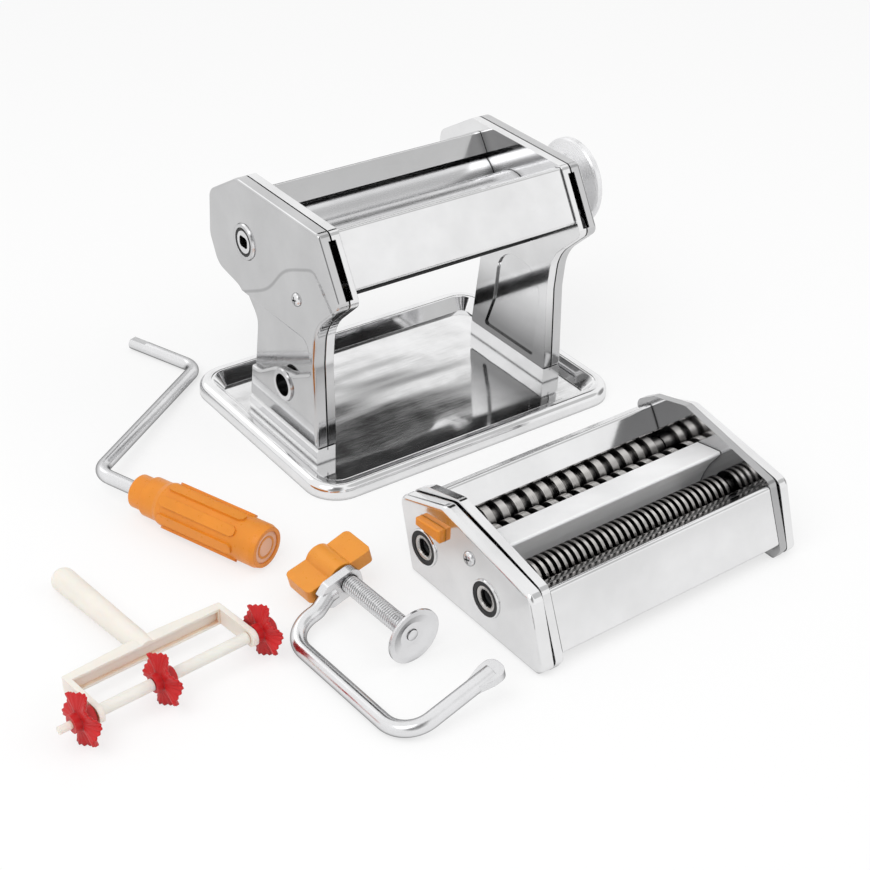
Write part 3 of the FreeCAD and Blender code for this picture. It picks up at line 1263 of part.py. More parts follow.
def machine():
    """Base, sides, guards, rollers, gears and the thickness dial."""
    base_plate()
    for name, side in (("left", "-1"), ("right", "1")):
        side_plate(f"{name}_side_plate", side)
        side_cover(f"{name}_cover", side)
    gather("leg_shoes", [leg_shoe(f"{name}_shoe", side)
                         for name, side in (("left", "-1"), ("right", "1"))])
    front_guard()
    rear_guard()
    scraper("front_scraper", FRONT_AXIS, "-screw_reach+1", "front_blade_drop")
    scraper("rear_scraper", "drive_reach+1.5", "drive_reach+22", "rear_blade_drop")
    tie_rods()
    screw_line = {"y": "-screw_reach", "z": "screw_height"}
    gather("cover_screws", [cover_screw(f"{name}_cover_screw", side, OUTER, INNER, screw_line)
                            for name, side in (("left", "-1"), ("right", "1"))])
    drive_socket()
    clamp_socket()
    drive_roller()
    front_roller()
    machine_gears()
    gather("rear_bushes", [rear_bush(f"{name}_bush", side)
                           for name, side in (("left", "-1"), ("right", "1"))])
    gather("roller_carriers", [carrier(f"{name}_carrier", side)
                               for name, side in (("left", "-1"), ("right", "1"))])
    dial_spindle()
    dial_cam()
    dial_knob()
    dial_pin()
    dial_spring()


def accessories():
    """Crank and table clamp."""
    crank_rod()
    crank_grip()
    grip_end_cap()
    clamp_frame()
    clamp_screw()
    clamp_pad()
    clamp_wing_knob()


def cutter_head():
    """Plates, covers, guides, cutting rollers, gears and latch."""
    for name, side in (("left", "-1"), ("right", "1")):
        cutter_plate(f"cutter_{name}_plate", side)
        cutter_cover(f"cutter_{name}_cover", side)
    cutter_guides()
    cutter_rollers()
    cutter_gears()
    cutter_strippers()
    cutter_fasteners()
    cutter_latch()


def sub_parts():
    """Every top-level piece: bodies, primitives and groups that no group holds."""
    kinds = ("PartDesign::Body", "Part::Cylinder", "Part::Compound", "Part::Feature")
    held = {piece.Name for group in document.findObjects("Part::Compound")
            for piece in group.Links}
    return [item for item in document.Objects
            if item.TypeId in kinds and item.Name not in held]


def write_steps():
    """Check every object and shape, then write one STEP file per sub-part."""
    document.recompute()
    for item in document.Objects:
        if "Invalid" in item.State or "Error" in item.State:
            raise ValueError(f"{item.Label}: {item.State}")
    pieces = sub_parts()
    for piece in pieces:
        if piece.Shape.isNull() or not piece.Shape.isValid():
            raise ValueError(f"{piece.Label}: bad shape")
    os.makedirs("parts", exist_ok=True)
    for piece in pieces:
        piece.Shape.exportStep(f"parts/{piece.Label}.step")
        print(piece.Label, len(piece.Shape.Solids), round(piece.Shape.Volume, 1))
    print(len(pieces), "sub-parts")


machine()
accessories()
cutter_head()
wheel_cutter()
write_steps()
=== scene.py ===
import json
import logging
import math
from abc import ABC, abstractmethod
from dataclasses import dataclass, field
from enum import Enum
from typing import Sequence

import bmesh
import bpy
from mathutils import Matrix, Vector

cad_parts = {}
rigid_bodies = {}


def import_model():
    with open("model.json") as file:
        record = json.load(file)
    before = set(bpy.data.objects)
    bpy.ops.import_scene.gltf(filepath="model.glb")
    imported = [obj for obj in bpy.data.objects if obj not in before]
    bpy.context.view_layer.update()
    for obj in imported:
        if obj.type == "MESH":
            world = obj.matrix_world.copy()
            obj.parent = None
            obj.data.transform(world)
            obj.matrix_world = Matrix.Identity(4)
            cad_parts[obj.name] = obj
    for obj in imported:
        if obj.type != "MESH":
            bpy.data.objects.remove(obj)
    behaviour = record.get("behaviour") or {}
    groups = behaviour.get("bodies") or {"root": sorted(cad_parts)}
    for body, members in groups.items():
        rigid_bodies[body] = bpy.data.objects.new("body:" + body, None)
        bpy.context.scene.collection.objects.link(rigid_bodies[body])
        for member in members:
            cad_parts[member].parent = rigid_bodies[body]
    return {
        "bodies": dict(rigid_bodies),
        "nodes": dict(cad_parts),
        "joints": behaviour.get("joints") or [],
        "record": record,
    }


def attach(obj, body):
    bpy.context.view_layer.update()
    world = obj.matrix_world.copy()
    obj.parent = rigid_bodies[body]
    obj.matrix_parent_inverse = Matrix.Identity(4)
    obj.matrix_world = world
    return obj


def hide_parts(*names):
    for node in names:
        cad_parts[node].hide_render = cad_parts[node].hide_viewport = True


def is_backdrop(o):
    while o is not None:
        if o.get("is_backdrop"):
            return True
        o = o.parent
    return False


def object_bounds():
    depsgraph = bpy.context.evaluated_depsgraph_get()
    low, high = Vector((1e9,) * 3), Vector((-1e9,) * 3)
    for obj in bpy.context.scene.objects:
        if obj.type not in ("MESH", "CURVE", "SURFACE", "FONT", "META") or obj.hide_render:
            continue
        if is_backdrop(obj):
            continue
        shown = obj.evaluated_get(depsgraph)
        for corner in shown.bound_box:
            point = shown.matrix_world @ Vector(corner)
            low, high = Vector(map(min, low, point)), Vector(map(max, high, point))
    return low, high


# Looks of a hand cranked pasta machine with its loose crank, table clamp, cutter head
# and wheel cutter. Lengths are in metres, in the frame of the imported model.

log = logging.getLogger("pasta_machine")
Colour = tuple[float, float, float]
Point = tuple[float, float, float]
Span = tuple[float, float]
Profile = Sequence[tuple[float, float]]
Ring = Sequence[bmesh.types.BMVert]
Socket = bpy.types.NodeSocket
MM = 0.001
WHITE: Colour = (1.0, 1.0, 1.0)
UP: Point = (0.0, 0.0, 1.0)


class Grain(Enum):
    """Direction in which a metal surface was rolled or turned."""

    EVEN = (1.0, 1.0, 1.0)
    ALONG_X = (0.04, 1.0, 1.0)
    STREAKED_X = (0.22, 1.0, 1.0)
    ROUND_X = (1.0, 0.06, 0.06)


# ------------------------------------------------------------------ node trees

SPOT_SAMPLES = 4  # rays that feel out gaps and edges round a spot
MIX_INPUTS = (0, 6, 7)  # a Mix node's factor and its two colours
MIX_RESULT = 2  # its output for colours


class Tree:
    """Node tree of a material or of the world, with short calls for its usual nodes."""

    def __init__(self, owner: bpy.types.Material | bpy.types.World) -> None:
        """Take over the node tree of a material or of the world.

        Args:
            owner: what the tree belongs to.
        """
        owner.use_nodes = True
        self.owner = owner
        self.nodes = owner.node_tree.nodes
        self.links = owner.node_tree.links

    def feed(self, socket: Socket, value: object) -> None:
        """Link a socket to another, or set its plain value.

        Args:
            socket: the input that is fed.
            value: an output socket, or a number, vector or colour.
        """
        if isinstance(value, Socket):
            self.links.new(value, socket)
        elif socket.type == "RGBA":
            socket.default_value = (*value, 1.0)
        else:
            socket.default_value = value

    def add(self, kind: str, *values: object, operation: str = "",
            **named: object) -> bpy.types.Node:
        """Add a node and feed its inputs.

        Args:
            kind: the node's type, without the word ShaderNode.
            values: sockets or numbers for its first inputs, in order.
            operation: what a Math node does.
            named: sockets or numbers for inputs by name; underscores stand for spaces.

        Returns:
            The node.
        """
        node = self.nodes.new(f"ShaderNode{kind}")
        if operation:
            node.operation = operation
        for index, value in enumerate(values):
            self.feed(node.inputs[index], value)
        for name, value in named.items():
            self.feed(node.inputs[name.replace("_", " ")], value)
        return node

    def computed(self, operation: str, *values: object) -> Socket:
        """Result of one Math node on sockets or numbers."""
        return self.add("Math", *values, operation=operation).outputs[0]

    def dotted(self, vector: Socket, direction: Sequence[float]) -> Socket:
        """Length of a vector along a direction."""
        node = self.add("VectorMath", vector, direction, operation="DOT_PRODUCT")
        return node.outputs["Value"]

    def mixed(self, factor: Socket, low: Socket, high: Socket) -> Socket:
        """Shader between two shaders."""
        return self.add("MixShader", factor, low, high).outputs[0]

    def ranged(self, value: Socket, low: float, high: float, start: float = 0.3,
               end: float = 0.7, smooth: bool = False) -> Socket:
        """Map a value from start..end onto low..high, clamped.

        Args:
            value: the value that is mapped.
            low: result at the start.
            high: result at the end.
            start: value at which the result begins to change.
            end: value at which it stops.
            smooth: whether it changes softly at both ends.

        Returns:
            The result.
        """
        node = self.add("MapRange", Value=value, From_Min=start, From_Max=end,
                        To_Min=low, To_Max=high)
        if smooth:
            node.interpolation_type = "SMOOTHSTEP"
        return node.outputs["Result"]


class Surface(Tree):
    """Node tree of a material round one Principled shader."""

    def __init__(self, name: str) -> None:
        """Start a material.

        Args:
            name: the material's name.
        """
        super().__init__(bpy.data.materials.new(name))
        self.shader = self.nodes["Principled BSDF"]
        self.place = self.add("TexCoord").outputs["Object"]

    def set(self, **values: object) -> None:
        """Feed sockets of the Principled shader; underscores stand for spaces."""
        for name, value in values.items():
            self.feed(self.shader.inputs[name.replace("_", " ")], value)

    def noise(self, per_metre: float, detail: float = 3.0, grain: Grain = Grain.EVEN,
              roughness: float = 0.55) -> Socket:
        """Noise of a given fineness.

        Args:
            per_metre: features per metre.
            detail: octaves.
            grain: direction in which it is drawn out.
            roughness: weight of the finer octaves.

        Returns:
            The noise's value, from 0 to 1.
        """
        drawn_out = self.add("Mapping", Vector=self.place, Scale=grain.value).outputs["Vector"]
        return self.add("TexNoise", Vector=drawn_out, Scale=per_metre, Detail=detail,
                        Roughness=roughness).outputs["Fac"]

    def blended(self, factor: Socket, low: Colour | Socket, high: Colour | Socket) -> Socket:
        """Colour between two colours.

        Args:
            factor: 0 for the first colour, 1 for the second.
            low: the first colour.
            high: the second colour.

        Returns:
            The blended colour.
        """
        node = self.add("Mix")
        node.data_type = "RGBA"
        for index, value in zip(MIX_INPUTS, (factor, low, high)):
            self.feed(node.inputs[index], value)
        return node.outputs[MIX_RESULT]

    def projected(self, direction: Point) -> Socket:
        """Position along a direction, in metres."""
        return self.dotted(self.place, direction)

    def openness(self, distance: float, low: float = 0.2, high: float = 0.75) -> Socket:
        """How open a spot lies: 0 deep in a gap, 1 on a free face.

        Args:
            distance: how far off a wall still counts.
            low: open share of the sky that gives 0.
            high: open share of the sky that gives 1.

        Returns:
            The openness.
        """
        node = self.add("AmbientOcclusion", Distance=distance)
        node.samples = SPOT_SAMPLES
        return self.ranged(node.outputs["AO"], 0.0, 1.0, low, high)

    def turned_away(self) -> Socket:
        """How far a face turns away from the eye: 0 head on, 1 edge on."""
        return self.add("LayerWeight").outputs["Facing"]

    def rounded(self, radius: float) -> Socket:
        """Normal that softens sharp edges over a radius."""
        node = self.add("Bevel", Radius=radius)
        node.samples = SPOT_SAMPLES
        return node.outputs["Normal"]

    def bumped(self, height: Socket, depth: float, normal: Socket) -> Socket:
        """Normal disturbed by a height from 0 to 1 that stands for a depth in metres."""
        return self.add("Bump", Distance=depth, Height=height, Normal=normal).outputs["Normal"]


# ------------------------------------------------------------------ finishes

# Metal. Each span holds the values at which a change starts and ends.
FILM_PER_METRE, FILM_DETAIL = 35.0, 5.0  # faint film left by wiping
FILM_TINT = 0.9  # share of the tint under the film
PAINTED_SHADE_TINT = 0.25  # share of the tint in painted shade
PAINTED_GAP_SHADE: Colour = (0.02, 0.02, 0.022)  # painted shade in gaps and crevices
EDGE_SPAN: Span = (0.45, 0.85)  # turn away from the eye over which a rod's painted edge shade grows
EDGE_TINT: Colour = (0.5, 0.5, 0.5)  # mirror light at a rod's very edge
FOOT_SPAN: Span = (0.02, 0.06)  # height over the ground over which an inner plate's painted dark reflection fades
CREASE_SPAN: Span = (0.1, 0.25)  # steepness of a pressed step, on a cover, for its painted crease shade
CREASE_SHADE = 0.38  # share of painted shade in the crease
SMUDGE_SPAN: Span = (0.12, 0.42)  # strength of the handling marks
RIPPLE_DETAIL = 1.0  # octaves of the sheet's ripples

# Plastic.
FLOW_PER_METRE, FLOW_DETAIL = 55.0, 4.0  # marks of the flow into the mould
SCUFF_PER_METRE, SCUFF_DETAIL, SCUFF_ROUGHNESS = 420.0, 5.0, 0.7  # fine scuffs
SCUFF_SPAN: Span = (0.35, 0.75)  # strength of the scuffs
SCUFF_DULLNESS = 0.2  # roughness that they add
HOLLOW_GAP = 0.008  # how near a wall has to be for painted shade in a hollow
GLOW_SCALE = 0.004  # how far light goes inside
GLOW_RADIUS: Colour = (1.0, 0.6, 0.4)  # reach of red, green and blue light inside


@dataclass(frozen=True)
class Contour:
    """Soft step pressed into a side cover, along a line given by (y, z) corners in metres.

    The pressed side lies to the left of each stretch; the stretches meet in soft bends.
    """

    corners: tuple[tuple[float, float], ...] = (
        (0.062, 0.066), (0.008, 0.092), (-0.008, 0.112), (-0.039, 0.125), (-0.062, 0.102))
    depth: float = 0.0007
    width: float = 0.0015
    bend: float = 0.008

    def height(self, tree: Surface) -> Socket:
        """Height of the surface, from 0 on the pressed side to 1 on the raised side.

        Args:
            tree: the node tree that gets the nodes.

        Returns:
            The height.
        """
        sides = []
        for start, end in zip(self.corners, self.corners[1:]):
            run, rise = end[0] - start[0], end[1] - start[1]
            length = math.hypot(run, rise)
            across = (-rise / length, run / length)
            offset = across[0] * start[0] + across[1] * start[1]
            sides.append(tree.computed(
                "SUBTRACT", tree.projected((0.0, across[0], across[1])), offset))
        rear, rise_side, crest, brow = sides
        inside = tree.computed("SMOOTH_MIN", rise_side, crest, self.bend)
        inside = tree.computed("SMOOTH_MAX", rear, inside, self.bend)
        inside = tree.computed("SMOOTH_MIN", inside, brow, self.bend)
        return tree.ranged(inside, 1.0, 0.0, -self.width, self.width)


@dataclass(frozen=True)
class Steel:
    """A metal finish.

    Attributes:
        slot: name of the finish and of its material slot.
        tint: colour of its mirror light.
        gloss: roughness of a clean spot.
        smudge: roughness that handling marks add.
        ripple: depth of the sheet's ripples.
        ripple_per_metre: ripples per metre.
        grain: direction of the grain.
        grain_depth: depth of the grain, 0 for none.
        grain_per_metre: lines of the grain per metre.
        edge: radius that sharp edges seem to have.
        gap: how near a wall has to be for painted shade on a spot.
        metal: share of metal in the surface.
        ripple_grain: direction of the ripples.
        openness: open shares of the sky at which a spot takes full painted shade and none.
        edge_shade: share of the tint left in the painted shade at a rod's edge.
        foot_shade: share of the tint left in the painted dark reflection at a plate's foot.
        contour: step pressed into the sheet.
    """

    slot: str
    tint: Colour
    gloss: float = 0.06
    smudge: float = 0.08
    ripple: float = 0.00004
    ripple_per_metre: float = 22.0
    grain: Grain = Grain.EVEN
    grain_depth: float = 0.0
    grain_per_metre: float = 1500.0
    edge: float = 0.0004
    gap: float = 0.004
    metal: float = 1.0
    ripple_grain: Grain = Grain.EVEN
    openness: Span = (0.2, 0.75)
    edge_shade: float = 1.0
    foot_shade: float = 1.0
    contour: Contour | None = None

    def material(self) -> bpy.types.Material:
        """Build the node material.

        Returns:
            The finished material.
        """
        tree = Surface(self.slot)
        film = tree.noise(FILM_PER_METRE, FILM_DETAIL)
        fine = tree.noise(self.grain_per_metre, grain=self.grain)
        step = self.contour.height(tree) if self.contour else None
        marks = tree.computed("MULTIPLY", film, fine)
        tree.set(Metallic=self.metal,
                 Base_Color=self.colour(tree, film, step),
                 Roughness=tree.ranged(marks, self.gloss, self.gloss + self.smudge,
                                       *SMUDGE_SPAN),
                 Normal=self.relief(tree, fine, step))
        if self.edge_shade < 1.0:
            tree.set(Specular_Tint=EDGE_TINT)
        return tree.owner

    def colour(self, tree: Surface, film: Socket, step: Socket | None) -> Socket:
        """Tint under its film, with painted shade at rod edges, creases and gaps and a painted
        dark reflection at plate feet.

        Args:
            tree: the node tree that gets the nodes.
            film: strength of the film.
            step: height of a pressed step.

        Returns:
            The colour.
        """
        filmed = tuple(FILM_TINT * part for part in self.tint)
        dark = tuple(PAINTED_SHADE_TINT * part for part in self.tint)
        clean = tree.blended(tree.ranged(film, 0.0, 1.0), self.tint, filmed)
        # painted shade: a rod's colour darkens as its face turns away from the eye
        if self.edge_shade < 1.0:
            away = tree.ranged(tree.turned_away(), 0.0, 1.0 - self.edge_shade, *EDGE_SPAN)
            clean = tree.blended(away, clean, dark)
        # painted reflection: a plate's colour darkens towards its foot
        if self.foot_shade < 1.0:
            low = tree.ranged(tree.projected(UP), 1.0 - self.foot_shade, 0.0, *FOOT_SPAN)
            clean = tree.blended(low, clean, dark)
        # painted shade along the steep middle of a pressed step
        if step is not None:
            steep = tree.computed("MULTIPLY", step, tree.computed("SUBTRACT", 1.0, step))
            crease = tree.ranged(steep, 0.0, CREASE_SHADE, *CREASE_SPAN)
            clean = tree.blended(crease, clean, dark)
        # painted shade: spots in gaps and crevices darken towards near black
        return tree.blended(tree.openness(self.gap, *self.openness), PAINTED_GAP_SHADE, clean)

    def relief(self, tree: Surface, fine: Socket, step: Socket | None) -> Socket:
        """Normal with rounded edges, ripples, the pressed step and the grain.

        Args:
            tree: the node tree that gets the nodes.
            fine: height of the grain.
            step: height of a pressed step.

        Returns:
            The normal.
        """
        ripples = tree.noise(self.ripple_per_metre, RIPPLE_DETAIL, self.ripple_grain)
        normal = tree.bumped(ripples, self.ripple, tree.rounded(self.edge))
        if step is not None:
            normal = tree.bumped(step, self.contour.depth, normal)
        if self.grain_depth:
            normal = tree.bumped(fine, self.grain_depth, normal)
        return normal


@dataclass(frozen=True)
class Plastic:
    """A moulded plastic.

    Attributes:
        slot: name of the finish and of its material slot.
        colour: its colour.
        gloss: roughness of a clean spot.
        mottle: how much the flow marks darken it.
        grain_depth: depth of the scuffs.
        depth_glow: share of light that goes through it.
        edge: radius that sharp edges seem to have.
        hollow_shade_colour: painted shade colour deep in its hollows.
    """

    slot: str
    colour: Colour
    gloss: float = 0.3
    mottle: float = 0.06
    grain_depth: float = 0.00002
    depth_glow: float = 0.0
    edge: float = 0.0005
    hollow_shade_colour: Colour | None = None

    def material(self) -> bpy.types.Material:
        """Build the node material.

        Returns:
            The finished material.
        """
        tree = Surface(self.slot)
        flow = tree.noise(FLOW_PER_METRE, FLOW_DETAIL)
        scuff = tree.noise(SCUFF_PER_METRE, SCUFF_DETAIL, roughness=SCUFF_ROUGHNESS)
        deep = tuple(part * (1.0 - 2.0 * self.mottle) for part in self.colour)
        base = tree.blended(tree.ranged(flow, 0.0, 1.0), self.colour, deep)
        # painted shade: the colour darkens deep in hollows
        if self.hollow_shade_colour:
            base = tree.blended(tree.openness(HOLLOW_GAP), self.hollow_shade_colour, base)
        tree.set(Base_Color=base,
                 Roughness=tree.ranged(scuff, self.gloss, self.gloss + SCUFF_DULLNESS,
                                       *SCUFF_SPAN),
                 Normal=tree.bumped(scuff, self.grain_depth, tree.rounded(self.edge)))
        if self.depth_glow:
            tree.set(Subsurface_Weight=self.depth_glow, Subsurface_Scale=GLOW_SCALE,
                     Subsurface_Radius=GLOW_RADIUS)
        return tree.owner


FINISHES: tuple[Steel | Plastic, ...] = (
    Steel("bright_steel", (0.89, 0.89, 0.895)),
    Steel("plate_steel", (0.89, 0.89, 0.895), gap=0.0015, foot_shade=0.05),
    Steel("cover_steel", (0.63, 0.63, 0.635), contour=Contour()),
    Steel("guard_steel", (0.86, 0.86, 0.865), gloss=0.1, gap=0.010),
    # darker copy of the bright steel: painted shade on the cutter's right plate
    Steel("painted_shade_steel", (0.5, 0.5, 0.505)),
    Steel("satin_steel", (0.92, 0.92, 0.925), gloss=0.3, metal=0.15, gap=0.002),
    Steel("socket_steel", (0.78, 0.78, 0.79), gloss=0.16, gap=0.02, openness=(0.4, 0.9)),
    Steel("tray_steel", (0.93, 0.93, 0.935), gloss=0.05, smudge=0.08, ripple=0.0003,
          ripple_per_metre=38.0, ripple_grain=Grain.STREAKED_X, grain=Grain.ALONG_X,
          grain_depth=0.0000015),
    Steel("rolled_steel", (0.80, 0.80, 0.81), gloss=0.22, gap=0.009, smudge=0.12,
          grain=Grain.ALONG_X, grain_depth=0.000004),
    Steel("zinc_steel", (0.86, 0.86, 0.87), gloss=0.16, edge_shade=0.3, smudge=0.14,
          ripple=0.00006, ripple_per_metre=90.0, grain_depth=0.000003,
          grain_per_metre=700.0),
    Steel("dial_steel", (0.90, 0.90, 0.91), gloss=0.24, metal=0.5, smudge=0.12,
          grain=Grain.ROUND_X, grain_depth=0.000003),
    Steel("cutter_steel", (0.70, 0.68, 0.66), gloss=0.24, gap=0.009, openness=(0.4, 0.8),
          smudge=0.16, grain=Grain.ROUND_X, grain_depth=0.000004),
    Plastic("dark_nylon", (0.012, 0.012, 0.013), gloss=0.5),
    Plastic("gear_nylon", (0.05, 0.05, 0.052), gloss=0.4),
    Plastic("orange_plastic", (0.80, 0.27, 0.018), gloss=0.26, mottle=0.05, depth_glow=0.12),
    Plastic("knob_plastic", (0.82, 0.31, 0.03), gloss=0.26, mottle=0.05, depth_glow=0.12),
    Plastic("cap_plastic", (0.86, 0.50, 0.33), gloss=0.4, depth_glow=0.1),
    # the hollow colours of the cream and red plastics are painted shade
    Plastic("cream_plastic", (0.86, 0.82, 0.75), gloss=0.36, mottle=0.03, depth_glow=0.25,
            hollow_shade_colour=(0.72, 0.48, 0.30)),
    Plastic("red_plastic", (0.60, 0.008, 0.010), gloss=0.36, mottle=0.08, depth_glow=0.05,
            hollow_shade_colour=(0.22, 0.002, 0.004)),
)


class Workshop:
    """Every finish, built once and looked up by its slot."""

    def __init__(self) -> None:
        """Build the material of each finish."""
        self.materials: dict[str, bpy.types.Material] = {
            finish.slot: finish.material() for finish in FINISHES}

    def dress(self, piece: bpy.types.Object, slot: str) -> None:
        """Give a piece one finish, named by its slot."""
        piece.data.materials.clear()
        piece.data.materials.append(self.materials[slot])


# ------------------------------------------------------------------ mesh tools

THREAD_SEGMENTS = 32
THREAD_STEPS = 6  # rings for each turn of a thread
FLAT = 0.02 * MM  # how far the corners of a flat end may differ


def spoke(station: float, radius: float, turn: float) -> Point:
    """Point at a station of the X axis, out along a spoke turned by some radians."""
    return (station, radius * math.cos(turn), radius * math.sin(turn))


def skin(mesh: bmesh.types.BMesh, rings: Sequence[Ring], caps: Sequence[Ring] = ()) -> None:
    """Cover a mesh with faces between neighbouring rings and over its caps.

    Args:
        mesh: the mesh that gets the faces.
        rings: rings of as many vertices each; one on the axis repeats its vertex.
        caps: rings that are closed by one face each.
    """
    for ring, after in zip(rings, rings[1:]):
        for k, corner in enumerate(ring):
            following = (k + 1) % len(ring)
            corners = dict.fromkeys((corner, ring[following], after[following], after[k]))
            if len(corners) > 2:
                mesh.faces.new(tuple(corners))
    for cap in caps:
        mesh.faces.new(cap)
    bmesh.ops.recalc_face_normals(mesh, faces=mesh.faces)


def turned(profile: Profile, segments: int = 64) -> bmesh.types.BMesh:
    """Solid turned about the X axis from (station, radius) corners.

    Args:
        profile: corners of a closed section; a radius of 0 lies on the axis.
        segments: steps round the axis.

    Returns:
        The turned mesh.
    """
    mesh = bmesh.new()
    turns = [math.tau * k / segments for k in range(segments)]
    rings = []
    for station, radius in profile:
        if radius > 0:
            rings.append([mesh.verts.new(spoke(station, radius, turn)) for turn in turns])
        else:
            rings.append([mesh.verts.new((station, 0, 0))] * segments)
    skin(mesh, [*rings, rings[0]])
    return mesh


def threaded(start: float, end: float, radius: float, depth: float,
             pitch: float) -> bmesh.types.BMesh:
    """Rod along X with a right-hand thread.

    Args:
        start: station of the first end.
        end: station of the other end.
        radius: radius over the crests.
        depth: depth of the thread.
        pitch: advance for each turn.

    Returns:
        The threaded rod.
    """
    steps = int((end - start) / pitch * THREAD_STEPS)
    mesh = bmesh.new()
    rings = []
    for index in range(steps + 1):
        station = start + (end - start) * index / steps
        ring = []
        for k in range(THREAD_SEGMENTS):
            phase = (station / pitch - k / THREAD_SEGMENTS) % 1.0
            reach = radius - depth * abs(2 * phase - 1)
            turn = math.tau * k / THREAD_SEGMENTS
            ring.append(mesh.verts.new(spoke(station, reach, turn)))
        rings.append(ring)
    skin(mesh, rings, (rings[0], rings[-1]))
    return mesh


def joined(first: bmesh.types.BMesh, second: bmesh.types.BMesh) -> bmesh.types.BMesh:
    """Put a second mesh into the first.

    Args:
        first: the mesh that grows.
        second: the mesh that is put in, freed here.

    Returns:
        The first mesh.
    """
    data = bpy.data.meshes.new("joined")
    second.to_mesh(data)
    second.free()
    first.from_mesh(data)
    bpy.data.meshes.remove(data)
    return first


def end_of(piece: bpy.types.Object, axis: Vector) -> Vector:
    """Middle of the flat end that a piece shows along an axis.

    Args:
        piece: the object that is measured.
        axis: direction of the end, of length 1.

    Returns:
        The middle.
    """
    corners = [vertex.co for vertex in piece.data.vertices]
    reach = max(corner.dot(axis) for corner in corners)
    end = [corner for corner in corners if corner.dot(axis) > reach - FLAT]
    return Vector([(min(corner[k] for corner in end) + max(corner[k] for corner in end)) / 2
                   for k in range(3)])


def block(size: Point, centre: Point) -> bmesh.types.BMesh:
    """Box with its edges along the axes.

    Args:
        size: its size along X, Y and Z.
        centre: its centre.

    Returns:
        The box.
    """
    mesh = bmesh.new()
    bmesh.ops.create_cube(mesh, size=1.0, matrix=Matrix.Translation(centre)
                          @ Matrix.Diagonal((*size, 1)))
    return mesh


def smoothed(data: bpy.types.Mesh, sharp_turn: float = 35.0) -> None:
    """Shade a mesh smooth, apart from edges that turn by more than some degrees."""
    data.shade_smooth()
    data.set_sharp_from_angle(angle=math.radians(sharp_turn))


def as_object(name: str, mesh: bmesh.types.BMesh,
              place: Matrix | None = None) -> bpy.types.Object:
    """Turn a mesh into an object whose place is in its vertices.

    Args:
        name: the piece's name.
        mesh: the mesh, freed here.
        place: matrix from the mesh's own frame to the model's.

    Returns:
        The new object, linked to the scene.
    """
    if place is not None:
        mesh.transform(place)
    data = bpy.data.meshes.new(name)
    mesh.to_mesh(data)
    mesh.free()
    smoothed(data)
    piece = bpy.data.objects.new(name, data)
    bpy.context.scene.collection.objects.link(piece)
    return piece


def carve(piece: bpy.types.Object, tool: bpy.types.Object) -> None:
    """Cut a tool's volume out of a piece.

    Args:
        piece: the object that is cut.
        tool: the object that cuts, removed here.
    """
    modifier = piece.modifiers.new("carve", "BOOLEAN")
    modifier.operation = "DIFFERENCE"
    modifier.solver = "EXACT"
    modifier.object = tool
    depsgraph = bpy.context.evaluated_depsgraph_get()
    carved = bpy.data.meshes.new_from_object(piece.evaluated_get(depsgraph))
    piece.modifiers.clear()
    piece.data = carved
    bpy.data.objects.remove(tool)


def along(origin: Sequence[float], axis: Sequence[float]) -> Matrix:
    """Frame with its X axis along a direction and its Z axis as far up as it goes."""
    turn = Vector(axis).normalized().to_track_quat("X", "Z").to_matrix()
    return Matrix.Translation(Vector(origin)) @ turn.to_4x4()


# ------------------------------------------------------------------ sub-assemblies


@dataclass
class SubAssembly(ABC):
    """Pieces that belong together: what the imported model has, and what is added to it."""

    workshop: Workshop
    frame: dict
    made: list[str] = field(default_factory=list)

    @abstractmethod
    def build(self) -> None:
        """Dress the kept nodes and add the new pieces."""

    def keep(self, slot: str, *nodes: str) -> None:
        """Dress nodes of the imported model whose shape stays.

        Args:
            slot: the finish's slot.
            nodes: names of the nodes.
        """
        for name in nodes:
            self.workshop.dress(self.frame["nodes"][name], slot)
            self.made.append(name)

    def axle(self, joint: str) -> Matrix:
        """Frame of a named joint at rest, with X along its axis."""
        found = next(item for item in self.frame["joints"] if item["name"] == joint)
        return along(found["pos_m"], found["axis"])

    def add(self, piece: bpy.types.Object, body: str, slot: str, *replaced: str) -> None:
        """Dress a new piece and let it ride on a body.

        Args:
            piece: the new piece.
            body: the body it moves with.
            slot: the finish's slot.
            replaced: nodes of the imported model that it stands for.
        """
        self.workshop.dress(piece, slot)
        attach(piece, body)
        if replaced:
            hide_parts(*replaced)
        self.made.append(piece.name)


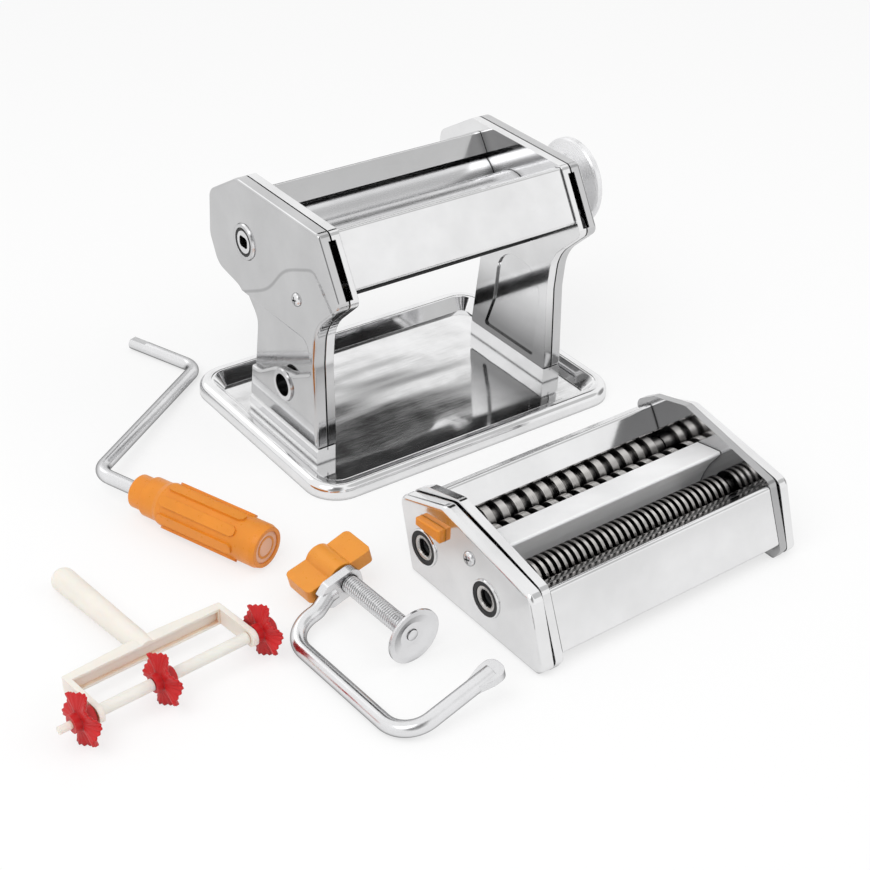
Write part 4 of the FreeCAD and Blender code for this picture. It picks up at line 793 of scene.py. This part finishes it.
@dataclass(frozen=True)
class CrossScrew:
    """Pan head screw with a cross recess; turns are in degrees."""

    head_radius: float = 4.0 * MM
    head_height: float = 1.8 * MM
    dome_turns: tuple[float, ...] = (20, 38, 56, 72)
    dome_fullness: float = 0.6
    shank_radius: float = 2.0 * MM
    shank_length: float = 12 * MM
    slot_width: float = 0.9 * MM
    slot_reach: float = 2.1 * MM
    slot_turns: tuple[float, float] = (20, 110)
    segments: int = 40
    sharp_turn: float = 30

    def build(self, name: str, place: Matrix) -> bpy.types.Object:
        """Make the screw; its head's seat is at X = 0 and its head points to +X.

        Args:
            name: the piece's name.
            place: frame of the head's seat.

        Returns:
            The screw.
        """
        dome = [(self.head_height * math.sin(turn),
                 self.head_radius * math.cos(turn) ** self.dome_fullness)
                for turn in map(math.radians, self.dome_turns)]
        screw = as_object(name, turned([
            (-self.shank_length, 0), (-self.shank_length, self.shank_radius),
            (0, self.shank_radius), (0, self.head_radius), *dome, (self.head_height, 0)],
            self.segments), place)
        for turn in self.slot_turns:
            bar = block((self.head_height, 2 * self.slot_reach, self.slot_width),
                        (self.head_height, 0, 0))
            roll = Matrix.Rotation(math.radians(turn), 4, "X")
            carve(screw, as_object("slot_tool", bar, place @ roll))
        smoothed(screw.data, self.sharp_turn)
        return screw

    def pair(self, assembly: SubAssembly, node: str, axis: Point | Vector,
             body: str) -> None:
        """Stand in for a node of two plain screws that point along an axis and against it.

        Args:
            assembly: the sub-assembly that gets the screws.
            node: the node that they replace.
            axis: direction of the first screw's head.
            body: the body that they move with.
        """
        plain = assembly.frame["nodes"][node]
        for name, sign, replaced in (("a", 1, (node,)), ("b", -1, ())):
            out = sign * Vector(axis).normalized()
            seat = end_of(plain, out) - self.head_height * out
            screw = self.build(f"{node}_{name}", along(seat, out))
            assembly.add(screw, body, "zinc_steel", *replaced)


@dataclass
class Housing(SubAssembly):
    """Base tray, side plates and covers, guards, scrapers, rods, sockets and screws."""

    screw_axis: Point = (1.0, 0.0, 0.0)

    def build(self) -> None:
        """Dress the kept nodes and add the cross screws of the covers."""
        self.keep("tray_steel", "base_plate")
        self.keep("bright_steel", "front_guard", "leg_shoes")
        self.keep("plate_steel", "left_side_plate", "right_side_plate")
        self.keep("cover_steel", "left_cover", "right_cover")
        self.keep("guard_steel", "rear_guard")
        self.keep("dark_nylon", "drive_bush", "rear_bushes", "front_scraper", "rear_scraper")
        self.keep("zinc_steel", "tie_rods", "drive_socket_ring")
        self.keep("socket_steel", "clamp_socket")
        CrossScrew().pair(self, "cover_screws", self.screw_axis, "housing")


@dataclass
class Rollers(SubAssembly):
    """Sheeting rollers with their gears and sliding bearings."""

    def build(self) -> None:
        """Dress the kept nodes."""
        self.keep("rolled_steel", "drive_roller", "front_roller")
        self.keep("gear_nylon", "drive_gear", "front_gear")
        self.keep("zinc_steel", "roller_carriers")


@dataclass
class Dial(SubAssembly):
    """Thickness dial on its spindle."""

    def build(self) -> None:
        """Dress the kept nodes."""
        self.keep("dial_steel", "dial_knob")
        self.keep("zinc_steel", "dial_spindle", "dial_cam", "dial_pin", "dial_spring")


@dataclass
class Crank(SubAssembly):
    """Loose crank: bent rod, ribbed grip and its cap."""

    ring_face: float = 87.1 * MM
    ring_height: float = 0.35 * MM
    ring_inner: float = 5.2 * MM
    ring_outer: float = 6.4 * MM

    def build(self) -> None:
        """Dress the kept nodes and add the ring on the grip's cap."""
        self.keep("zinc_steel", "crank_rod")
        self.keep("orange_plastic", "crank_grip")
        self.keep("cap_plastic", "grip_end_cap")
        low, high = self.ring_face, self.ring_face + self.ring_height
        ring = turned([(low, self.ring_inner), (high, self.ring_inner),
                       (high, self.ring_outer), (low, self.ring_outer)])
        self.add(as_object("cap_ring", ring, self.axle("grip_spin")), "grip", "orange_plastic")


@dataclass
class Clamp(SubAssembly):
    """Loose table clamp: bent frame, threaded screw, pad and wing knob."""

    thread_start: float = 1.8 * MM
    thread_end: float = 74.5 * MM
    thread_radius: float = 5 * MM
    thread_depth: float = 0.9 * MM
    thread_pitch: float = 1.5 * MM
    rivet_radius: float = 3 * MM
    rivet_tip: float = -0.9 * MM
    rivet_brim: float = -0.4 * MM
    rivet_segments: int = 32

    def build(self) -> None:
        """Dress the kept nodes and add the threaded screw with its riveted end."""
        self.keep("zinc_steel", "clamp_frame", "clamp_pad")
        self.keep("knob_plastic", "clamp_wing_knob")
        rivet = turned([(self.rivet_tip, 0), (self.rivet_tip, self.rivet_radius / 2),
                        (self.rivet_brim, self.rivet_radius),
                        (self.thread_start, self.rivet_radius), (self.thread_start, 0)],
                       self.rivet_segments)
        thread = threaded(self.thread_start, self.thread_end, self.thread_radius,
                          self.thread_depth, self.thread_pitch)
        screw = as_object("thread", joined(thread, rivet), self.axle("screw_turn"))
        self.add(screw, "screw", "zinc_steel", "clamp_screw")


@dataclass(frozen=True)
class RingedRoller:
    """Cutting roller: even rings on a core, with a keyed socket when it is driven.

    Attributes:
        pitch: distance from ring to ring.
        count: number of rings.
        shift: how far the rings are moved along X.
        driven: whether it has the socket.
        play: how much narrower than half the pitch a ring is.
        gear_end: how far the shaft goes on the gear's side.
        tip: how far the socket's collar goes on that side.
        shaft_end: how far the shaft goes on the other side.
        lead_depth: depth of the socket's round lead-in.
    """

    pitch: float
    count: int
    shift: float = 0.0
    driven: bool = False
    play: float = 0.25 * MM
    ring_radius: float = 9.6 * MM
    core_radius: float = 6.4 * MM
    half_length: float = 75.6 * MM
    gear_end: float = 86.0 * MM
    tip: float = 89.3 * MM
    face_radius: float = 7 * MM
    shaft_radius: float = 4 * MM
    shaft_end: float = 79.9 * MM
    key_depth: float = 8 * MM
    key_width: float = 8.4 * MM
    key_height: float = 6.6 * MM
    lead_depth: float = 5 * MM
    lead_radius: float = 5.1 * MM
    segments: int = 48

    def build(self, name: str, place: Matrix) -> bpy.types.Object:
        """Make the roller about the X axis of a frame.

        Args:
            name: the piece's name.
            place: frame of the roller.

        Returns:
            The roller.
        """
        roller = as_object(name, turned(self.profile(), self.segments), place)
        if self.driven:
            key = block((2 * self.key_depth, self.key_width, self.key_height),
                        (-self.tip, 0, 0))
            carve(roller, as_object("key_tool", key, place))
            start, end = -self.tip - self.lead_depth, -self.tip + self.lead_depth
            lead = turned([(start, 0), (start, self.lead_radius), (end, self.lead_radius),
                           (end, 0)])
            carve(roller, as_object("lead_tool", lead, place))
        return roller

    def profile(self) -> Profile:
        """Section of the roller before its socket is cut.

        Returns:
            The (station, radius) corners.
        """
        left = [(-self.gear_end, 0)]
        if self.driven:
            left = [(-self.tip, 0), (-self.tip, self.face_radius),
                    (-self.gear_end, self.face_radius)]
        corners = [*left, (-self.gear_end, self.shaft_radius),
                   (-self.half_length, self.shaft_radius), (-self.half_length, self.core_radius)]
        first = -self.pitch * self.count / 2 + self.play / 2 + self.shift
        for index in range(self.count):
            start = first + index * self.pitch
            end = start + self.pitch / 2 - self.play
            corners += [(start, self.core_radius), (start, self.ring_radius),
                        (end, self.ring_radius), (end, self.core_radius)]
        return [*corners, (self.half_length, self.core_radius),
                (self.half_length, self.shaft_radius), (self.shaft_end, self.shaft_radius),
                (self.shaft_end, 0)]


@dataclass
class CutterHead(SubAssembly):
    """Loose cutter head with a wide and a narrow pair of cutting rollers."""

    wide_pitch: float = 9.65 * MM
    wide_count: int = 15
    narrow_pitch: float = 4.26 * MM
    narrow_count: int = 35
    cover_face: float = 88.9 * MM
    rim_height: float = 1.0 * MM
    rim_inner: float = 9.6 * MM
    rim_outer: float = 10.5 * MM
    rim_chamfer: float = 0.3 * MM

    def build(self) -> None:
        """Dress the kept nodes and add the screws, the ringed rollers and the socket rims."""
        # the right plate takes a darker steel tint as painted shade
        self.keep("painted_shade_steel", "cutter_right_plate")
        self.keep("bright_steel", "cutter_left_plate", "cutter_left_cover",
                  "cutter_right_cover", "cutter_rear_guide", "cutter_front_panel")
        self.keep("satin_steel", "cutter_ridge_guide")
        self.keep("dark_nylon", "wide_stripper", "narrow_stripper", "cutter_socket_rings")
        self.keep("zinc_steel", "cutter_tie_rod")
        self.keep("orange_plastic", "cutter_latch")
        axis = self.axle("wide_drive_spin").to_3x3() @ Vector((1, 0, 0))
        CrossScrew().pair(self, "cutter_screws", axis, "cutter")
        for pair, pitch, count in (("wide", self.wide_pitch, self.wide_count),
                                   ("narrow", self.narrow_pitch, self.narrow_count)):
            for role, shift in (("drive", 0.0), ("mate", pitch / 2)):
                self.roller(f"{pair}_{role}", RingedRoller(pitch, count, shift, role == "drive"))
            self.socket_rim(pair)

    def roller(self, name: str, shape: RingedRoller) -> None:
        """Stand an evenly ringed roller in for a plain one, and dress its gear.

        Args:
            name: name of the roller's body.
            shape: the roller's form.
        """
        self.keep("gear_nylon", f"{name}_gear")
        roller = shape.build(f"{name}_rings", self.axle(f"{name}_spin"))
        self.add(roller, name, "cutter_steel", f"{name}_roller")

    def socket_rim(self, pair: str) -> None:
        """Add the bright rim round a drive socket's black ring.

        Args:
            pair: name of the pair of rollers.
        """
        face, crown = -self.cover_face, -self.cover_face - self.rim_height
        rim = turned([(face, self.rim_inner), (crown, self.rim_inner),
                      (crown, self.rim_outer - self.rim_chamfer), (face, self.rim_outer)])
        piece = as_object(f"{pair}_socket_rim", rim, self.axle(f"{pair}_drive_spin"))
        self.add(piece, "cutter", "bright_steel")


@dataclass(frozen=True)
class WavyWheel:
    """Toothed wheel whose rim swings from side to side, on a short hub.

    Attributes:
        sections: from the root to the rim, share of the reach and of the rim's gauge.
        root_depth: how deep the wheel's root lies in the hub.
        tooth_taper: how much thinner the rim is in the gap of two teeth.
    """

    radius: float = 14 * MM
    hub_radius: float = 4.6 * MM
    hub_length: float = 11 * MM
    hub_segments: int = 48
    bore_radius: float = 2.15 * MM
    wave: float = 2.2 * MM
    wave_count: int = 5
    phase: float = math.radians(-15)
    tooth: float = 0.9 * MM
    tooth_count: int = 36
    tooth_steps: int = 6
    tooth_taper: float = 0.3
    rim_gauge: float = 1.95 * MM
    root_depth: float = 0.5 * MM
    sections: Profile = ((0.0, 2.0), (0.35, 1.6), (0.7, 1.2), (0.95, 0.95), (1.0, 0.6))

    def build(self, name: str, place: Matrix) -> bpy.types.Object:
        """Make the wheel about the X axis of a frame.

        Args:
            name: the piece's name.
            place: frame of the wheel.

        Returns:
            The wheel.
        """
        mesh = bmesh.new()
        rings = [self.ring(mesh, -1, *section) for section in self.sections]
        rings += [self.ring(mesh, 1, *section) for section in reversed(self.sections)]
        skin(mesh, [*rings, rings[0]])
        end = self.hub_length / 2
        hub = turned([(-end, self.bore_radius), (-end, self.hub_radius),
                      (end, self.hub_radius), (end, self.bore_radius)], self.hub_segments)
        return as_object(name, joined(mesh, hub), place)

    def ring(self, mesh: bmesh.types.BMesh, side: int, reach: float, thick: float) -> Ring:
        """Vertices round one side of the wheel.

        Args:
            mesh: the mesh that gets them.
            side: -1 or 1 along X.
            reach: share of the way from the root to the teeth.
            thick: share of the rim's gauge.

        Returns:
            The ring.
        """
        root = self.hub_radius - self.root_depth
        steps = self.tooth_steps * self.tooth_count
        ring = []
        for step in range(steps):
            turn = math.tau * step / steps
            notch = 0.5 - 0.5 * math.cos(self.tooth_count * turn)
            radius = root + reach * (self.radius - self.tooth * notch - root)
            half = self.rim_gauge / 2 * thick * (1 - self.tooth_taper * reach * notch)
            swing = self.wave * reach * math.sin(self.wave_count * turn + self.phase)
            ring.append(mesh.verts.new(spoke(swing + side * half, radius, turn)))
        return ring


@dataclass
class WheelCutter(SubAssembly):
    """Loose wheel cutter: moulded fork and handle, axle, spacers and three wheels."""

    def build(self) -> None:
        """Dress the kept nodes and add the finely toothed wheels."""
        self.keep("cream_plastic", "tool_handle", "tool_axle", "tool_spacers")
        for name in ("left", "middle", "right"):
            wheel = WavyWheel().build(f"wavy_wheel_{name}", self.axle(f"wheel_{name}_spin"))
            self.add(wheel, f"wheel_{name}", "red_plastic", f"tool_wheel_{name}")


# ------------------------------------------------------------------ studio


@dataclass(frozen=True)
class Flag:
    """A dark or pale card far off in the studio that polished metal mirrors.

    Attributes:
        towards: direction of the card's middle.
        inner_turn: degrees from there over which it has its full shade.
        outer_turn: degrees from there at which it has faded out.
        shade: its level, as a share of the studio's.
    """

    towards: Point
    inner_turn: float
    outer_turn: float
    shade: float

    def level(self, tree: Tree, direction: Socket) -> Socket:
        """Share of the studio's level that is left in a direction.

        Args:
            tree: the node tree that gets the nodes.
            direction: the direction.

        Returns:
            The share, 1 beside the card.
        """
        nearness = tree.dotted(direction, Vector(self.towards).normalized())
        return tree.ranged(nearness, 1.0, self.shade, math.cos(math.radians(self.outer_turn)),
                           math.cos(math.radians(self.inner_turn)), smooth=True)


@dataclass(frozen=True)
class Lamp:
    """A square soft lamp that looks at the origin."""

    name: str
    place: Point
    size: float
    watts: float

    def build(self) -> None:
        """Add the lamp to the scene, unseen by polished metal."""
        data = bpy.data.lights.new(self.name, "AREA")
        data.size = self.size
        data.energy = self.watts
        lamp = bpy.data.objects.new(self.name, data)
        lamp.location = self.place
        lamp.rotation_euler = Vector(self.place).to_track_quat("Z", "Y").to_euler()
        lamp.visible_glossy = False
        bpy.context.scene.collection.objects.link(lamp)


@dataclass
class Studio:
    """Floor, surroundings, lamps and camera.

    Attributes:
        camera_at: the camera's place.
        camera_right, camera_up, camera_back: its axes.
        lens_mm: its focal length.
        plain_level: light on matt surfaces.
        gloss_level: light that polished metal mirrors.
        flags: cards that change the gloss level in some directions.
        paper: colour of the floor.
        floor_reach: how far the floor goes each way.
        floor_share: glow's share in the floor for rays of the camera and of gloss.
        floor_level: strength of that glow for the same rays.
        lamps: the soft lamps.
    """

    camera_at: Point = (-0.51009, -0.70710, 0.53614)
    camera_right: Point = (0.80950, -0.58622, 0.03243)
    camera_up: Point = (0.29806, 0.45792, 0.83754)
    camera_back: Point = (-0.50583, -0.66832, 0.54542)
    lens_mm: float = 69.08
    plain_level: float = 0.72
    gloss_level: float = 0.96
    flags: tuple[Flag, ...] = (
        Flag((0.440, 0.584, 0.682), 10.9, 12.3, 0.04),
        Flag((0.49, -0.45, 0.745), 15.0, 21.5, 0.6),
        Flag((-0.27, -0.5, 0.82), 8.0, 18.0, 0.35),
        Flag((-0.506, -0.668, 0.545), 10.0, 28.0, 0.3),
        Flag((0.95, -0.25, 0.25), 10.0, 24.0, 0.3),
        Flag((-0.6, -0.2, 0.77), 12.0, 20.0, 2.4),
        Flag((-0.2, 0.75, 0.6), 8.0, 16.0, 1.6),
    )
    paper: Colour = (0.92, 0.92, 0.92)
    floor_reach: float = 4.0
    floor_share: tuple[float, float] = (0.7, 0.5)
    floor_level: tuple[float, float] = (1.0, 0.84)
    lamps: tuple[Lamp, ...] = (
        Lamp("key", (-0.9, -0.3, 1.3), 1.1, 9.0),
        Lamp("fill", (0.9, -0.9, 1.0), 1.2, 4.5),
    )

    def build(self) -> None:
        """Set up the whole studio."""
        bpy.context.scene.view_settings.view_transform = "Standard"
        self.surroundings()
        self.floor()
        for lamp in self.lamps:
            lamp.build()
        self.camera()

    def surroundings(self) -> None:
        """Make the world: white to the camera, even on matt surfaces, flags in gloss."""
        world = bpy.data.worlds.new("studio")
        bpy.context.scene.world = world
        tree = Tree(world)
        tree.nodes.clear()
        rays = tree.add("LightPath").outputs
        direction = tree.add("TexCoord").outputs["Generated"]
        mirrored: Socket | float = self.gloss_level
        for flag in self.flags:
            mirrored = tree.computed("MULTIPLY", flag.level(tree, direction), mirrored)
        gloss, plain, white = (
            tree.add("Background", Color=WHITE, Strength=level).outputs[0]
            for level in (mirrored, self.plain_level, 1.0))
        unseen = tree.mixed(rays["Is Glossy Ray"], plain, gloss)
        tree.add("OutputWorld", Surface=tree.mixed(rays["Is Camera Ray"], unseen, white))

    def floor(self) -> None:
        """Lay white paper that keeps a soft shadow."""
        mesh = bmesh.new()
        bmesh.ops.create_grid(mesh, x_segments=1, y_segments=1, size=self.floor_reach)
        paper = as_object("floor", mesh)
        tree = Tree(bpy.data.materials.new("paper"))
        tree.nodes.clear()
        matt = tree.add("BsdfDiffuse", Color=self.paper).outputs[0]
        glow = tree.add("Emission", Strength=self.by_ray(tree, *self.floor_level)).outputs[0]
        share = self.by_ray(tree, *self.floor_share)
        tree.add("OutputMaterial", Surface=tree.mixed(share, matt, glow))
        paper.data.materials.append(tree.owner)
        paper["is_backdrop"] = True

    @staticmethod
    def by_ray(tree: Tree, for_camera: float, for_gloss: float) -> Socket:
        """Number that only rays of the camera and rays of gloss get.

        Args:
            tree: the node tree that gets the nodes.
            for_camera: the number for rays of the camera.
            for_gloss: the number for rays of gloss.

        Returns:
            The number, 0 for other rays.
        """
        rays = tree.add("LightPath").outputs
        gloss = tree.computed("MULTIPLY", rays["Is Glossy Ray"], for_gloss)
        return tree.computed("MULTIPLY_ADD", rays["Is Camera Ray"], for_camera, gloss)

    def camera(self) -> None:
        """Set up the camera at its fixed viewing angle."""
        data = bpy.data.cameras.new("camera")
        data.lens = self.lens_mm
        camera = bpy.data.objects.new("camera", data)
        axes = Matrix((self.camera_right, self.camera_up, self.camera_back)).transposed()
        camera.matrix_world = Matrix.Translation(self.camera_at) @ axes.to_4x4()
        bpy.context.scene.collection.objects.link(camera)
        bpy.context.scene.camera = camera


def corners() -> list[list[float]]:
    """Lowest and highest corner of everything that belongs to the object."""
    return [[float(part) for part in corner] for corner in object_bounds()]


def main(frame: dict) -> None:
    """Build every sub-assembly and the studio, and report each piece.
    """
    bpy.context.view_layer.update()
    workshop = Workshop()
    Studio().build()
    builders: tuple[type[SubAssembly], ...] = (
        Housing, Rollers, Dial, Crank, Clamp, CutterHead, WheelCutter)
    for builder in builders:
        assembly = builder(workshop, frame)
        assembly.build()
        for name in assembly.made:
            log.info("%s: %s", builder.__name__, name)


if __name__ == "__main__":
    logging.basicConfig(level=logging.INFO)
    main(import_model())
